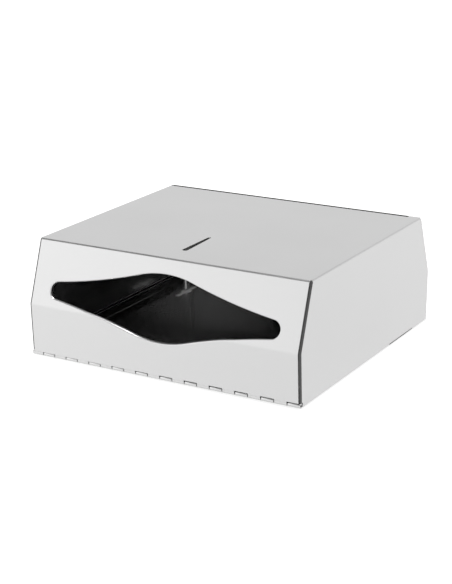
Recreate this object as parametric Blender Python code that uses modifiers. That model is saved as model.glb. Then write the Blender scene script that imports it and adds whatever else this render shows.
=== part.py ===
"""Lockable sheet-steel dispenser for folded paper napkins.

The dispenser lies on its back plate. X runs along the hinge, -Y is the narrow
front face with the wave-shaped mouth, +Z is up. The origin is the centre of the
footprint, on the underside of the back plate. A one-piece cover turns on a
full-length hinge along the bottom front edge, and a quarter-turn cam lock in the
cover's rear flange hooks under a strike on the back plate.

Run with: blender --background --python part.py
"""

import math

import bmesh
import bpy
from mathutils import Matrix, Vector

MM = 0.001

# ---------------------------------------------------------------- cover sizes
WIDTH = 279.4 * MM              # along the hinge, 22 knuckles of half an inch
BASE_DEPTH = 266.0 * MM         # front to back at the bottom edge
HEIGHT = 107.0 * MM
KNEE_HEIGHT = 49.2 * MM         # where front and rear sheets fold
KNEE_OUT = 1.5 * MM             # how far the knee stands outside the bottom edge
TOP_INSET = 19.1 * MM           # how far the top edge stands inside the bottom edge
SHEET = 1.0 * MM
KNEE_RADIUS = 8.0 * MM
BEND_SETBACK = 1.7 * MM         # tangent length of the cover's small bends
SIDE_EDGE_HEIGHT = 0.5 * MM     # underside of the side walls above the ground

# ------------------------------------------------------------- front openings
MOUTH_HALF_LENGTH = 118.0 * MM
MOUTH_HALF_HEIGHT = 30.5 * MM
MOUTH_CENTRE = 65.7 * MM        # measured up the sheet from the bottom edge
MOUTH_CREST_RADIUS = 94.0 * MM
MOUTH_FLANK_RADIUS = 530.0 * MM
MOUTH_END_RADIUS = 8.0 * MM
LIP_WALL = 0.8 * MM
LIP_DEPTH = 3.0 * MM            # inner end of the lip below the outer surface

SIGHT_REAR = (-2.0 * MM, -41.5 * MM)    # sight slot in the top, centres of its ends
SIGHT_FRONT = (-0.9 * MM, -84.8 * MM)
SIGHT_RADIUS_REAR = 1.5 * MM
SIGHT_RADIUS_FRONT = 2.7 * MM

SEAM_WIDTH = 0.6 * MM           # open corner between a flange and a side wall
SEAM_TOP_GAP = 3.5 * MM
RETURN_REACH = 10.0 * MM        # inward return of the side walls at the corners
RETURN_BOTTOM = 24.0 * MM
RETURN_TOP_GAP = 5.0 * MM

RELIEF_START = 45.0 * MM        # shallow relief in each side wall's lower edge
RELIEF_END = 97.0 * MM
RELIEF_HEIGHT = 1.6 * MM

# ---------------------------------------------------------------------- hinge
KNUCKLES = 22
BARREL_RADIUS = 2.0 * MM
LEAF = 0.9 * MM
PIN_RADIUS = 0.85 * MM
KNUCKLE_GAP = 0.3 * MM          # between neighbouring knuckles
NOTCH_EXTRA = 0.4 * MM          # a notch's extra width at each side
TAB_GAP = 0.3 * MM              # cover sheet above a cover knuckle
NOTCH_GAP = 0.6 * MM            # cover sheet above a base knuckle
SHOULDER_DROP = 0.4 * MM        # flat front of a cover knuckle below the barrel's top
COVER_LEAF_TOP = 20.0 * MM
LEAF_END_GAP = 1.7 * MM         # leaf end to the side wall's inner face
BASE_LEAF_REACH = 20.0 * MM
CURL_SLIT = math.radians(13.0)

# ----------------------------------------------------------------- back plate
FLOOR = 1.2 * MM
FLANGE_HEIGHT = 9.5 * MM
FLANGE_BEND = 2.0 * MM
FLANGE_SIDE_GAP = 1.8 * MM      # side flange to the cover's side wall
FLANGE_REAR_GAP = 1.2 * MM      # rear flange to the cover's rear sheet
FLANGE_FRONT_RELIEF = 30.0 * MM
FLANGE_CORNER_RELIEF = 6.0 * MM
KEYHOLE_X = 112.0 * MM
KEYHOLE_Y = 92.0 * MM
KEYHOLE_LENGTH = 38.0 * MM
KEYHOLE_SLOT = 5.5 * MM
KEYHOLE_ROUND = 11.5 * MM

# ----------------------------------------------------------------------- lock
LOCK_HEIGHT = 26.0 * MM         # axis above the ground, at the rear sheet
LOCK_RADIUS = 9.5 * MM
LOCK_HEAD_RADIUS = 11.0 * MM
LOCK_HEAD = 0.5 * MM
LOCK_LENGTH = 16.6 * MM         # body behind the rear sheet's outer face
PLUG_RADIUS = 6.0 * MM
PLUG_STUB = 3.2 * MM            # half width of the square that drives the cam
KEY_SLOT = (8.0 * MM, 1.6 * MM, 9.5 * MM)
SCREW_RADIUS = 2.2 * MM
SCREW_DEPTH = 9.0 * MM
SCREW_HEAD_RADIUS = 4.2 * MM
SCREW_HEAD = 2.4 * MM
CAM_THICKNESS = 2.0 * MM
CAM_LENGTH = 18.0 * MM          # lock axis to cam tip
CAM_HALF_WIDTH = 5.0 * MM
CAM_HUB_RADIUS = 7.0 * MM
CAM_WASHER_RADIUS = 6.0 * MM
CAM_WASHER = 1.0 * MM
LOCK_PLATE = 1.2 * MM           # doubler behind the rear sheet
LOCK_PLATE_SIZE = (40.0 * MM, 26.0 * MM)
LOCK_WASHER = 1.0 * MM
LOCK_WASHER_RADIUS = 12.0 * MM
LOCK_NUT = 3.2 * MM
LOCK_NUT_FLATS = 24.0 * MM

# --------------------------------------------------------------------- strike
STRIKE_SHEET = 1.5 * MM
STRIKE_WIDTH = 12.0 * MM        # along Y
STRIKE_FOOT = 15.0 * MM
STRIKE_HOOK = 7.0 * MM
STRIKE_CAM_GAP = 0.8 * MM
RIVET_RADIUS = 1.6 * MM
RIVET_HEAD_RADIUS = 2.6 * MM
RIVET_HEAD = 1.4 * MM

CLEARANCE = 0.3 * MM            # between pieces that touch in the real object
BORE_CLEARANCE = 0.3 * MM       # pin, plug and screw in their bores
OVERCUT = 5.0 * MM              # how far a cutter runs past what it cuts

# -------------------------------------------------------------- derived values
HALF_WIDTH = WIDTH / 2
HALF_DEPTH = BASE_DEPTH / 2
SLOPE_LOW = KNEE_OUT / KNEE_HEIGHT
SLOPE_HIGH = (TOP_INSET + KNEE_OUT) / (HEIGHT - KNEE_HEIGHT)
STRETCH_LOW = math.hypot(1.0, SLOPE_LOW)
STRETCH_HIGH = math.hypot(1.0, SLOPE_HIGH)
ANGLE_LOW = math.atan(SLOPE_LOW)
ANGLE_HIGH = math.atan(SLOPE_HIGH)
PITCH = WIDTH / KNUCKLES
PIN_Y = BARREL_RADIUS - HALF_DEPTH
PIN_Z = BARREL_RADIUS
BORE_RADIUS = BARREL_RADIUS - LEAF
SHOULDER = PIN_Z + BARREL_RADIUS - SHOULDER_DROP
TAB_EDGE = SHOULDER + TAB_GAP
NOTCH_EDGE = PIN_Z + BARREL_RADIUS + NOTCH_GAP
BARREL_REAR = PIN_Y + BARREL_RADIUS + 0.5 * MM
INNER_WIDTH = HALF_WIDTH - SHEET
LOCK_NORMAL = Vector((0.0, math.cos(ANGLE_LOW), -math.sin(ANGLE_LOW)))
LOCK_POINT = Vector((0.0, HALF_DEPTH + SLOPE_LOW * LOCK_HEIGHT, LOCK_HEIGHT))
CAM_START = LOCK_LENGTH + 4.5 * CLEARANCE
STUB_END = CAM_START + CAM_THICKNESS + CLEARANCE


# ------------------------------------------------------------ small geometry
def arc(centre, radius, start, end, steps):
    """Points on an arc, angles in radians, both ends included."""
    points = []
    for index in range(steps + 1):
        angle = start + (end - start) * index / steps
        points.append((centre[0] + radius * math.cos(angle),
                       centre[1] + radius * math.sin(angle)))
    return points


def mirrored(points):
    """The same outline on the other side of the vertical axis."""
    return [(-u, v) for u, v in points]


def knee_centre():
    """Centre of the front knee's bend, as (y, z)."""
    reach = KNEE_RADIUS / math.cos((ANGLE_LOW + ANGLE_HIGH) / 2)
    lean = (ANGLE_HIGH - ANGLE_LOW) / 2
    return (-HALF_DEPTH - KNEE_OUT + reach * math.cos(lean),
            KNEE_HEIGHT - reach * math.sin(lean))


def front_y(z, depth):
    """Y of the front sheet at a height, a depth below its outer surface."""
    if z <= KNEE_HEIGHT:
        return -HALF_DEPTH - SLOPE_LOW * z + depth * STRETCH_LOW
    rise = z - KNEE_HEIGHT
    return -HALF_DEPTH - KNEE_OUT + SLOPE_HIGH * rise + depth * STRETCH_HIGH


def front_line(depth, bottom, top):
    """The front sheet's (y, z) line at a depth, from bottom to top."""
    line = [(front_y(bottom, depth), bottom)]
    if bottom < KNEE_HEIGHT < top:
        start = math.pi + ANGLE_LOW
        end = math.pi - ANGLE_HIGH
        line += arc(knee_centre(), KNEE_RADIUS - depth, start, end, 4)
    line.append((front_y(top, depth), top))
    return line


def front_band(outer_depth, inner_depth, bottom, top):
    """Closed (y, z) outline of a layer that follows the front sheet."""
    outer = front_line(outer_depth, bottom, top)
    inner = front_line(inner_depth, bottom, top)
    return outer + inner[::-1]


def height_up_sheet(distance):
    """Z of a point that lies a distance up the front sheet."""
    knee = KNEE_HEIGHT * STRETCH_LOW
    if distance <= knee:
        return distance / STRETCH_LOW
    return KNEE_HEIGHT + (distance - knee) / STRETCH_HIGH


def mouth_outline(grow):
    """The wave outline as (x, z), grown outward by an offset."""
    crest = Vector((0.0, MOUTH_HALF_HEIGHT - MOUTH_CREST_RADIUS))
    end = Vector((MOUTH_HALF_LENGTH - MOUTH_END_RADIUS, 0.0))
    reach_crest = MOUTH_CREST_RADIUS + MOUTH_FLANK_RADIUS
    reach_end = MOUTH_END_RADIUS + MOUTH_FLANK_RADIUS
    gap = end - crest
    along = (reach_crest ** 2 - reach_end ** 2 + gap.length_squared) / (2 * gap.length)
    across = math.sqrt(reach_crest ** 2 - along ** 2)
    unit = gap.normalized()
    flank = crest + unit * along + Vector((-unit.y, unit.x)) * across
    to_crest = crest - flank
    to_end = end - flank
    crest_angle = math.atan2(-to_crest.y, -to_crest.x)
    end_angle = math.atan2(-to_end.y, -to_end.x)
    quarter = arc(crest, MOUTH_CREST_RADIUS + grow, math.pi / 2, crest_angle, 5)
    quarter += arc(flank, MOUTH_FLANK_RADIUS - grow, crest_angle - math.pi,
                   end_angle - math.pi, 5)[1:]
    quarter += arc(end, MOUTH_END_RADIUS + grow, end_angle, 0.0, 5)[1:]
    right = quarter + [(u, -v) for u, v in quarter[-2::-1]]
    whole = right + mirrored(right[-2:0:-1])
    return [(x, height_up_sheet(MOUTH_CENTRE + s)) for x, s in whole]


# ------------------------------------------------------------- object helpers
def clear_scene():
    for item in list(bpy.data.objects):
        bpy.data.objects.remove(item, do_unlink=True)


def new_collection(name, parent=None):
    collection = bpy.data.collections.new(name)
    (parent or bpy.context.scene.collection).children.link(collection)
    return collection


def new_material(name, colour, roughness, metallic):
    material = bpy.data.materials.new(name)
    material.use_nodes = True
    shader = material.node_tree.nodes["Principled BSDF"]
    shader.inputs["Base Color"].default_value = (*colour, 1.0)
    shader.inputs["Roughness"].default_value = roughness
    shader.inputs["Metallic"].default_value = metallic
    return material


def mesh_object(name, mesh, collection):
    item = bpy.data.objects.new(name, mesh)
    collection.objects.link(item)
    return item


def outline_solid(name, outlines, start, end, axis, collection):
    """A flat outline (or an outline with holes) drawn out along X, Y or Z.

    For X the outline is (y, z), for Y it is (x, z) and for Z it is (x, y).
    """
    curve = bpy.data.curves.new(name, "CURVE")
    curve.dimensions = "2D"
    curve.fill_mode = "BOTH"
    curve.extrude = (end - start) / 2
    for points in outlines:
        spline = curve.splines.new("POLY")
        spline.points.add(len(points) - 1)
        for point, (u, v) in zip(spline.points, points):
            point.co = (u, v, 0.0, 1.0)
        spline.use_cyclic_u = True
    drawn = bpy.data.objects.new(name + "_outline", curve)
    collection.objects.link(drawn)
    depsgraph = bpy.context.evaluated_depsgraph_get()
    mesh = bpy.data.meshes.new_from_object(drawn.evaluated_get(depsgraph))
    bpy.data.objects.remove(drawn, do_unlink=True)
    middle = (start + end) / 2
    turn = {"X": Matrix(((0, 0, 1, middle), (1, 0, 0, 0), (0, 1, 0, 0), (0, 0, 0, 1))),
            "Y": Matrix(((1, 0, 0, 0), (0, 0, -1, middle), (0, 1, 0, 0), (0, 0, 0, 1))),
            "Z": Matrix.Translation((0, 0, middle))}[axis]
    mesh.transform(turn)
    weld(mesh)
    mesh.name = name
    return mesh_object(name, mesh, collection)


def weld(mesh):
    """Join a drawn outline's loose caps to its walls and face them outward."""
    work = bmesh.new()
    work.from_mesh(mesh)
    bmesh.ops.remove_doubles(work, verts=work.verts, dist=1e-7)
    bmesh.ops.recalc_face_normals(work, faces=work.faces)
    work.to_mesh(mesh)
    work.free()


def box(name, low, high, collection):
    """A box between two corners."""
    mesh = bpy.data.meshes.new(name)
    work = bmesh.new()
    add_box(work, low, high)
    work.to_mesh(mesh)
    work.free()
    return mesh_object(name, mesh, collection)


def add_box(work, low, high):
    low = Vector(low)
    high = Vector(high)
    size = high - low
    matrix = Matrix.Translation((low + high) / 2) @ Matrix.Diagonal((*size, 1.0))
    bmesh.ops.create_cube(work, size=1.0, matrix=matrix)


def boxes(name, corners, collection):
    """One mesh of separate boxes, for a cutter that repeats."""
    mesh = bpy.data.meshes.new(name)
    work = bmesh.new()
    for low, high in corners:
        add_box(work, low, high)
    work.to_mesh(mesh)
    work.free()
    return mesh_object(name, mesh, collection)


def rod(name, radius, start, end, segments, place, collection):
    """A cylinder along the local Y axis of a placing matrix."""
    mesh = bpy.data.meshes.new(name)
    work = bmesh.new()
    along = Matrix.Rotation(-math.pi / 2, 4, "X")
    matrix = place @ Matrix.Translation((0, (start + end) / 2, 0)) @ along
    bmesh.ops.create_cone(work, cap_ends=True, segments=segments, radius1=radius,
                          radius2=radius, depth=end - start, matrix=matrix)
    work.to_mesh(mesh)
    work.free()
    return mesh_object(name, mesh, collection)


def combine(target, operand, operation):
    """Add an exact Boolean modifier and leave it on the object."""
    modifier = target.modifiers.new(operation.title() + " " + operand.name, "BOOLEAN")
    modifier.operation = operation
    modifier.solver = "EXACT"
    modifier.object = operand


def cut(target, *cutters):
    for cutter in cutters:
        combine(target, cutter, "DIFFERENCE")


def combine_all(target, pieces, operation, group):
    """One exact Boolean with several operands, which share a collection."""
    for piece in pieces:
        for owner in list(piece.users_collection):
            owner.objects.unlink(piece)
        group.objects.link(piece)
    modifier = target.modifiers.new(operation.title() + " " + group.name, "BOOLEAN")
    modifier.operation = operation
    modifier.solver = "EXACT"
    modifier.operand_type = "COLLECTION"
    modifier.collection = group


def set_origin(item, point):
    """Move an object's origin to a point and leave its shape where it is."""
    item.data.transform(Matrix.Translation(-Vector(point)))
    item.location = point


# ------------------------------------------------------------------ the cover
def folded_shell(parts):
    """The cover's bent sheet: a cube cut at the knee, drawn in, opened below."""
    skirt = 3.0 * MM
    mesh = bpy.data.meshes.new("cover_shell")
    work = bmesh.new()
    add_box(work, (-HALF_WIDTH, -HALF_DEPTH, -skirt), (HALF_WIDTH, HALF_DEPTH, HEIGHT))
    bmesh.ops.bisect_plane(work, geom=work.verts[:] + work.edges[:] + work.faces[:],
                           plane_co=(0, 0, KNEE_HEIGHT), plane_no=(0, 0, 1))
    for vertex in work.verts:
        vertex.co.y = math.copysign(front_y(vertex.co.z, 0.0), vertex.co.y)
    floor_faces = [face for face in work.faces if face.normal.z < -0.9]
    bmesh.ops.delete(work, geom=floor_faces, context="FACES")
    half_fold = (ANGLE_LOW + ANGLE_HIGH) / 2
    knees = [edge for edge in work.edges
             if all(abs(vertex.co.z - KNEE_HEIGHT) < 1e-6 for vertex in edge.verts)
             and abs(edge.verts[0].co.x - edge.verts[1].co.x) > HALF_WIDTH]
    bmesh.ops.bevel(work, geom=knees, offset=KNEE_RADIUS * math.tan(half_fold),
                    segments=4, profile=0.5, affect="EDGES")
    bmesh.ops.dissolve_limit(work, angle_limit=0.001, verts=work.verts[:],
                             edges=work.edges[:])
    bmesh.ops.recalc_face_normals(work, faces=work.faces[:])
    work.to_mesh(mesh)
    work.free()
    return mesh_object("cover_shell", mesh, parts)


def cover_trims(cutters):
    """Cutters that trim the lower edge and clear the hinge barrel."""
    front = -HALF_DEPTH - KNEE_OUT - OVERCUT
    wide = HALF_WIDTH + OVERCUT
    low = -OVERCUT * 2
    edge = [(front, low), (-front, low), (-front, SIDE_EDGE_HEIGHT),
            (RELIEF_END, SIDE_EDGE_HEIGHT), (RELIEF_END, RELIEF_HEIGHT),
            (RELIEF_START, RELIEF_HEIGHT), (RELIEF_START, SIDE_EDGE_HEIGHT),
            (BARREL_REAR, SIDE_EDGE_HEIGHT), (BARREL_REAR, TAB_EDGE), (front, TAB_EDGE)]
    notches = []
    for index in range(1, KNUCKLES, 2):
        start = -HALF_WIDTH + index * PITCH - NOTCH_EXTRA
        end = start + PITCH + 2 * NOTCH_EXTRA
        notches.append(((start, front, 0.0), (end, BARREL_REAR, NOTCH_EDGE)))
    return [outline_solid("cut_lower_edge", [edge], -wide, wide, "X", cutters),
            boxes("cut_edge_notches", notches, cutters)]


def cover_shell(parts, cutters):
    shell = folded_shell(parts)
    bend = shell.modifiers.new("Bends", "BEVEL")
    bend.limit_method = "ANGLE"
    bend.angle_limit = math.radians(40)
    bend.width = BEND_SETBACK
    bend.segments = 3
    bend.use_clamp_overlap = False
    wall = shell.modifiers.new("Sheet", "SOLIDIFY")
    wall.thickness = SHEET
    wall.offset = -1.0
    wall.use_even_offset = True

    ends = (-HALF_WIDTH - OVERCUT, HALF_WIDTH + OVERCUT)
    bottom = height_up_sheet(MOUTH_CENTRE - MOUTH_HALF_HEIGHT) - OVERCUT
    top = height_up_sheet(MOUTH_CENTRE + MOUTH_HALF_HEIGHT) + OVERCUT
    lip_layer = outline_solid("cut_lip_layer", [front_band(SHEET / 2, LIP_DEPTH, bottom, top)],
                              *ends, "X", cutters)
    past_front = -HALF_DEPTH - KNEE_OUT - OVERCUT
    past_lip = front_y(top, LIP_DEPTH) + OVERCUT
    lip = outline_solid("join_lip", [mouth_outline(LIP_WALL), mouth_outline(-LIP_WALL)],
                        past_front, past_lip, "Y", cutters)
    combine(lip, lip_layer, "INTERSECT")
    mouth = outline_solid("cut_mouth", [mouth_outline(0.0)], past_front, past_lip,
                          "Y", cutters)

    shell.modifiers.new("Flat faces", "TRIANGULATE")
    joins = new_collection("cover_joins", cutters)
    combine_all(shell, [lip] + corner_returns(cutters), "UNION", joins)
    cuts = new_collection("cover_cuts", cutters)
    openings = [mouth, sight_slot(cutters), lock_hole(cutters)]
    combine_all(shell, openings + corner_seams(cutters) + cover_trims(cutters),
                "DIFFERENCE", cuts)
    set_origin(shell, (0.0, PIN_Y, PIN_Z))
    return shell


def corner_returns(cutters):
    """Inward returns of the side walls, behind the front and rear sheets."""
    behind = SHEET + CLEARANCE
    band = front_band(behind, behind + SHEET, RETURN_BOTTOM, HEIGHT - RETURN_TOP_GAP)
    returns = []
    for end, start in (("left", -INNER_WIDTH - SHEET / 4),
                       ("right", INNER_WIDTH + SHEET / 4 - RETURN_REACH)):
        for face, outline in (("front", band), ("rear", mirrored(band))):
            returns.append(outline_solid("join_return_" + face + "_" + end, [outline],
                                         start, start + RETURN_REACH, "X", cutters))
    return returns


def corner_seams(cutters):
    """The open corners between the front and rear sheets and the side walls."""
    band = front_band(-SHEET, SHEET + CLEARANCE / 2, -OVERCUT, HEIGHT - SEAM_TOP_GAP)
    outer = HALF_WIDTH - BEND_SETBACK - SHEET / 10
    seams = []
    for end, start in (("left", -outer), ("right", outer - SEAM_WIDTH)):
        for face, outline in (("front", band), ("rear", mirrored(band))):
            seams.append(outline_solid("cut_seam_" + face + "_" + end, [outline],
                                       start, start + SEAM_WIDTH, "X", cutters))
    return seams


def sight_slot(cutters):
    """Tapered slot with round ends, wider toward the front."""
    run = Vector(SIGHT_FRONT) - Vector(SIGHT_REAR)
    lean = math.asin((SIGHT_RADIUS_FRONT - SIGHT_RADIUS_REAR) / run.length)
    turn = math.atan2(run.x, -run.y)
    rear = arc(SIGHT_REAR, SIGHT_RADIUS_REAR, turn + lean, turn + math.pi - lean, 6)
    front = arc(SIGHT_FRONT, SIGHT_RADIUS_FRONT, turn + math.pi - lean,
                turn + 2 * math.pi + lean, 8)
    return outline_solid("cut_sight_slot", [rear + front], HEIGHT - OVERCUT,
                         HEIGHT + OVERCUT, "Z", cutters)


# ------------------------------------------------------------------ the hinge
def cover_leaf(parts, cutters):
    """Leaf behind the front sheet; its curl forms every other knuckle."""
    outer = SHEET + CLEARANCE
    centre = (PIN_Y, PIN_Z)
    strip_top = (front_y(COVER_LEAF_TOP, outer), COVER_LEAF_TOP)
    chamfer = LEAF / 4
    outline = [strip_top, (front_y(SHOULDER, outer), SHOULDER),
               (PIN_Y - BARREL_RADIUS + chamfer, SHOULDER),
               (PIN_Y - BARREL_RADIUS, SHOULDER - chamfer)]
    curl_end = 2 * math.pi + math.radians(68)
    outline += arc(centre, BARREL_RADIUS, math.pi, curl_end, 16)
    outline += arc(centre, BORE_RADIUS, curl_end, math.radians(88), 14)
    outline.append((front_y(COVER_LEAF_TOP, outer + LEAF), COVER_LEAF_TOP))
    tip = HALF_WIDTH - KNUCKLE_GAP / 2
    leaf = outline_solid("hinge_leaf_cover", [outline], -tip, tip, "X", parts)
    front = -HALF_DEPTH - OVERCUT
    rear = PIN_Y + OVERCUT
    notches = []
    for index in range(1, KNUCKLES, 2):
        start = -HALF_WIDTH + index * PITCH - KNUCKLE_GAP / 2
        end = start + PITCH + KNUCKLE_GAP
        notches.append(((start, front, -OVERCUT), (end, rear, NOTCH_EDGE)))
    strip_end = INNER_WIDTH - LEAF_END_GAP
    ends = [((side * strip_end if side > 0 else -tip - OVERCUT, front, NOTCH_EDGE - LEAF),
             (tip + OVERCUT if side > 0 else -strip_end, rear, COVER_LEAF_TOP + OVERCUT))
            for side in (-1, 1)]
    cut(leaf, boxes("cut_cover_leaf_notches", notches, cutters),
        boxes("cut_cover_leaf_ends", ends, cutters))
    set_origin(leaf, (0.0, PIN_Y, PIN_Z))
    return leaf


def base_leaf(parts, cutters):
    """Leaf on the back plate; its curl forms the knuckles between the cover's."""
    centre = (PIN_Y, PIN_Z)
    low = FLOOR + CLEARANCE - PIN_Z
    high = low + LEAF
    root_high = math.asin(high / BARREL_RADIUS)
    root_low = math.asin(low / BORE_RADIUS)
    curl_end = 2 * math.pi + root_low - CURL_SLIT
    rear = -HALF_DEPTH + BASE_LEAF_REACH + 2 * BARREL_RADIUS
    outline = [(rear, PIN_Z + high)]
    outline += arc(centre, BARREL_RADIUS, root_high, curl_end, 18)
    outline += arc(centre, BORE_RADIUS, curl_end, root_low, 16)
    outline.append((rear, PIN_Z + low))
    tip = HALF_WIDTH - KNUCKLE_GAP / 2
    leaf = outline_solid("hinge_leaf_base", [outline], -tip, tip, "X", parts)
    front = PIN_Y - BARREL_RADIUS - OVERCUT
    notches = []
    for index in range(0, KNUCKLES, 2):
        start = -HALF_WIDTH + index * PITCH - KNUCKLE_GAP / 2
        end = start + PITCH + KNUCKLE_GAP
        notches.append(((start, front, -OVERCUT), (end, BARREL_REAR, OVERCUT)))
    strip_end = INNER_WIDTH - LEAF_END_GAP
    wide = HALF_WIDTH + OVERCUT
    root = BARREL_REAR - CLEARANCE      # the end knuckle stays clear of the side wall
    ends = [((strip_end, root, -OVERCUT), (wide, rear + OVERCUT, OVERCUT)),
            ((-wide, root, -OVERCUT), (-strip_end, rear + OVERCUT, OVERCUT))]
    cut(leaf, boxes("cut_base_leaf_notches", notches, cutters),
        boxes("cut_base_leaf_ends", ends, cutters))
    return leaf


def hinge_pin(parts):
    sideways = Matrix.Translation((0, PIN_Y, PIN_Z)) @ Matrix.Rotation(-math.pi / 2, 4, "Z")
    tip = HALF_WIDTH - KNUCKLE_GAP / 2
    return rod("hinge_pin", PIN_RADIUS, -tip, tip, 16, sideways, parts)


# ------------------------------------------------------------- the back plate
def keyhole(name, x, y, cutters):
    """Mounting hole: a slot along Y with a round entry in the middle."""
    run = (KEYHOLE_LENGTH - KEYHOLE_SLOT) / 2
    slot = KEYHOLE_SLOT / 2
    entry = KEYHOLE_ROUND / 2
    meet = math.asin(slot / entry)
    quarter = math.pi / 2
    outline = arc((x, y + run), slot, 0.0, math.pi, 6)
    outline += arc((x, y), entry, quarter + meet, 3 * quarter - meet, 8)
    outline += arc((x, y - run), slot, math.pi, 2 * math.pi, 6)
    outline += arc((x, y), entry, -quarter + meet, quarter - meet, 8)
    return outline_solid(name, [outline], -OVERCUT, OVERCUT, "Z", cutters)


def base_plate(parts, cutters):
    """Back plate: a shallow tray, open above and at the hinge."""
    half_x = INNER_WIDTH - FLANGE_SIDE_GAP
    rear = -front_y(0.0, SHEET) - FLANGE_REAR_GAP
    mesh = bpy.data.meshes.new("base_plate")
    work = bmesh.new()
    add_box(work, (-half_x, BARREL_REAR, 0.0), (half_x, rear, FLANGE_HEIGHT))
    openings = [face for face in work.faces if face.normal.z > 0.9 or face.normal.y < -0.9]
    bmesh.ops.delete(work, geom=openings, context="FACES")
    work.to_mesh(mesh)
    work.free()
    plate = mesh_object("base_plate", mesh, parts)
    bend = plate.modifiers.new("Bends", "BEVEL")
    bend.limit_method = "ANGLE"
    bend.angle_limit = math.radians(40)
    bend.width = FLANGE_BEND
    bend.segments = 3
    wall = plate.modifiers.new("Sheet", "SOLIDIFY")
    wall.thickness = FLOOR
    wall.offset = -1.0
    wall.use_even_offset = True

    wide = half_x + OVERCUT
    inner = half_x - FLANGE_CORNER_RELIEF
    hinge_end = -HALF_DEPTH + FLANGE_FRONT_RELIEF
    reliefs = []
    for low_x, high_x in ((-wide, -inner), (inner, wide)):
        reliefs.append(((low_x, rear - FLANGE_CORNER_RELIEF, -OVERCUT),
                        (high_x, rear + OVERCUT, FLANGE_HEIGHT + OVERCUT)))
        outer = FLANGE_BEND if low_x < 0 else -FLANGE_BEND
        edge = (low_x, -half_x + outer) if low_x < 0 else (half_x + outer, high_x)
        reliefs.append(((edge[0], BARREL_REAR - OVERCUT, -OVERCUT),
                        (edge[1], hinge_end, FLANGE_HEIGHT + OVERCUT)))
    cut(plate, boxes("cut_flange_reliefs", reliefs, cutters))
    for x in (-KEYHOLE_X, KEYHOLE_X):
        for y in (-KEYHOLE_Y, KEYHOLE_Y):
            name = "cut_keyhole_" + ("left" if x < 0 else "right")
            cut(plate, keyhole(name + ("_front" if y < 0 else "_rear"), x, y, cutters))
    return plate


# ------------------------------------------------------------------- the lock
def turned(name, profile, place, segments, collection):
    """A profile of (radius, along) points turned round the local Y axis."""
    corners = list(zip(profile, profile[1:] + profile[:1]))
    area = sum(first[0] * second[1] - second[0] * first[1] for first, second in corners)
    if area > 0:
        profile = profile[::-1]
    mesh = bpy.data.meshes.new(name)
    work = bmesh.new()
    verts = [work.verts.new((radius, along, 0.0)) for radius, along in profile]
    for first, second in zip(verts, verts[1:]):
        work.edges.new((first, second))
    if min(radius for radius, _ in profile) > 0:
        work.edges.new((verts[-1], verts[0]))
    work.to_mesh(mesh)
    work.free()
    item = mesh_object(name, mesh, collection)
    item.matrix_world = place
    screw = item.modifiers.new("Turn", "SCREW")
    screw.axis = "Y"
    screw.steps = segments
    screw.render_steps = segments
    screw.use_merge_vertices = True
    screw.merge_threshold = 1e-5
    return item


def ring_profile(bore, radius, start, end):
    return [(bore, start), (radius, start), (radius, end), (bore, end)]


def lock_place():
    """Local Y is the lock's axis, outward from the rear sheet's outer face."""
    return Matrix.Translation(LOCK_POINT) @ Matrix.Rotation(-ANGLE_LOW, 4, "X")


def lock_hole(cutters):
    return rod("cut_lock_hole", LOCK_RADIUS + CLEARANCE, -SHEET - OVERCUT, OVERCUT, 32,
               lock_place(), cutters)


def lock_housing(parts):
    bore = PLUG_RADIUS + BORE_CLEARANCE
    face = CLEARANCE + LOCK_HEAD
    profile = [(bore, face), (LOCK_HEAD_RADIUS - LOCK_HEAD / 2, face),
               (LOCK_HEAD_RADIUS, CLEARANCE + LOCK_HEAD / 2),
               (LOCK_HEAD_RADIUS, CLEARANCE), (LOCK_RADIUS, CLEARANCE),
               (LOCK_RADIUS, -LOCK_LENGTH), (bore, -LOCK_LENGTH)]
    return turned("lock_housing", profile, lock_place(), 32, parts)


def lock_plug(parts, cutters):
    """Turning plug with a key slot in front and a square stub for the cam."""
    place = lock_place()
    shoulder = -(CAM_START - CLEARANCE)
    face = CLEARANCE + LOCK_HEAD - 0.1 * MM
    plug = rod("lock_plug", PLUG_RADIUS, shoulder, face, 32, place, parts)
    stub = box("join_stub", (-PLUG_STUB, -STUB_END, -PLUG_STUB),
               (PLUG_STUB, shoulder + CAM_THICKNESS, PLUG_STUB), cutters)
    stub.matrix_world = place
    combine(plug, stub, "UNION")
    width, thickness, depth = KEY_SLOT
    slot = box("cut_key_slot", (-thickness / 2, -depth, -width / 2),
               (thickness / 2, OVERCUT, width / 2), cutters)
    slot.matrix_world = place
    hole = rod("cut_screw_hole", SCREW_RADIUS + BORE_CLEARANCE,
               -STUB_END - OVERCUT, -STUB_END + SCREW_DEPTH + CLEARANCE, 16, place, cutters)
    cut(plug, slot, hole)
    set_origin(plug, LOCK_POINT)
    return plug


def lock_cam(parts):
    """Flat cam that hangs straight down when the lock is open."""
    meet = math.acos(CAM_HALF_WIDTH / CAM_HUB_RADIUS)
    outline = arc((0, 0), CAM_HUB_RADIUS, -meet, math.pi + meet, 16)
    outline += arc((0, CAM_HALF_WIDTH - CAM_LENGTH), CAM_HALF_WIDTH, math.pi,
                   2 * math.pi, 10)
    half = PLUG_STUB + CLEARANCE
    hole = [(-half, -half), (half, -half), (half, half), (-half, half)]
    cam = outline_solid("lock_cam", [outline, hole], -CAM_START - CAM_THICKNESS,
                        -CAM_START, "Y", parts)
    cam.data.transform(lock_place())
    set_origin(cam, LOCK_POINT)
    return cam


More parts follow.
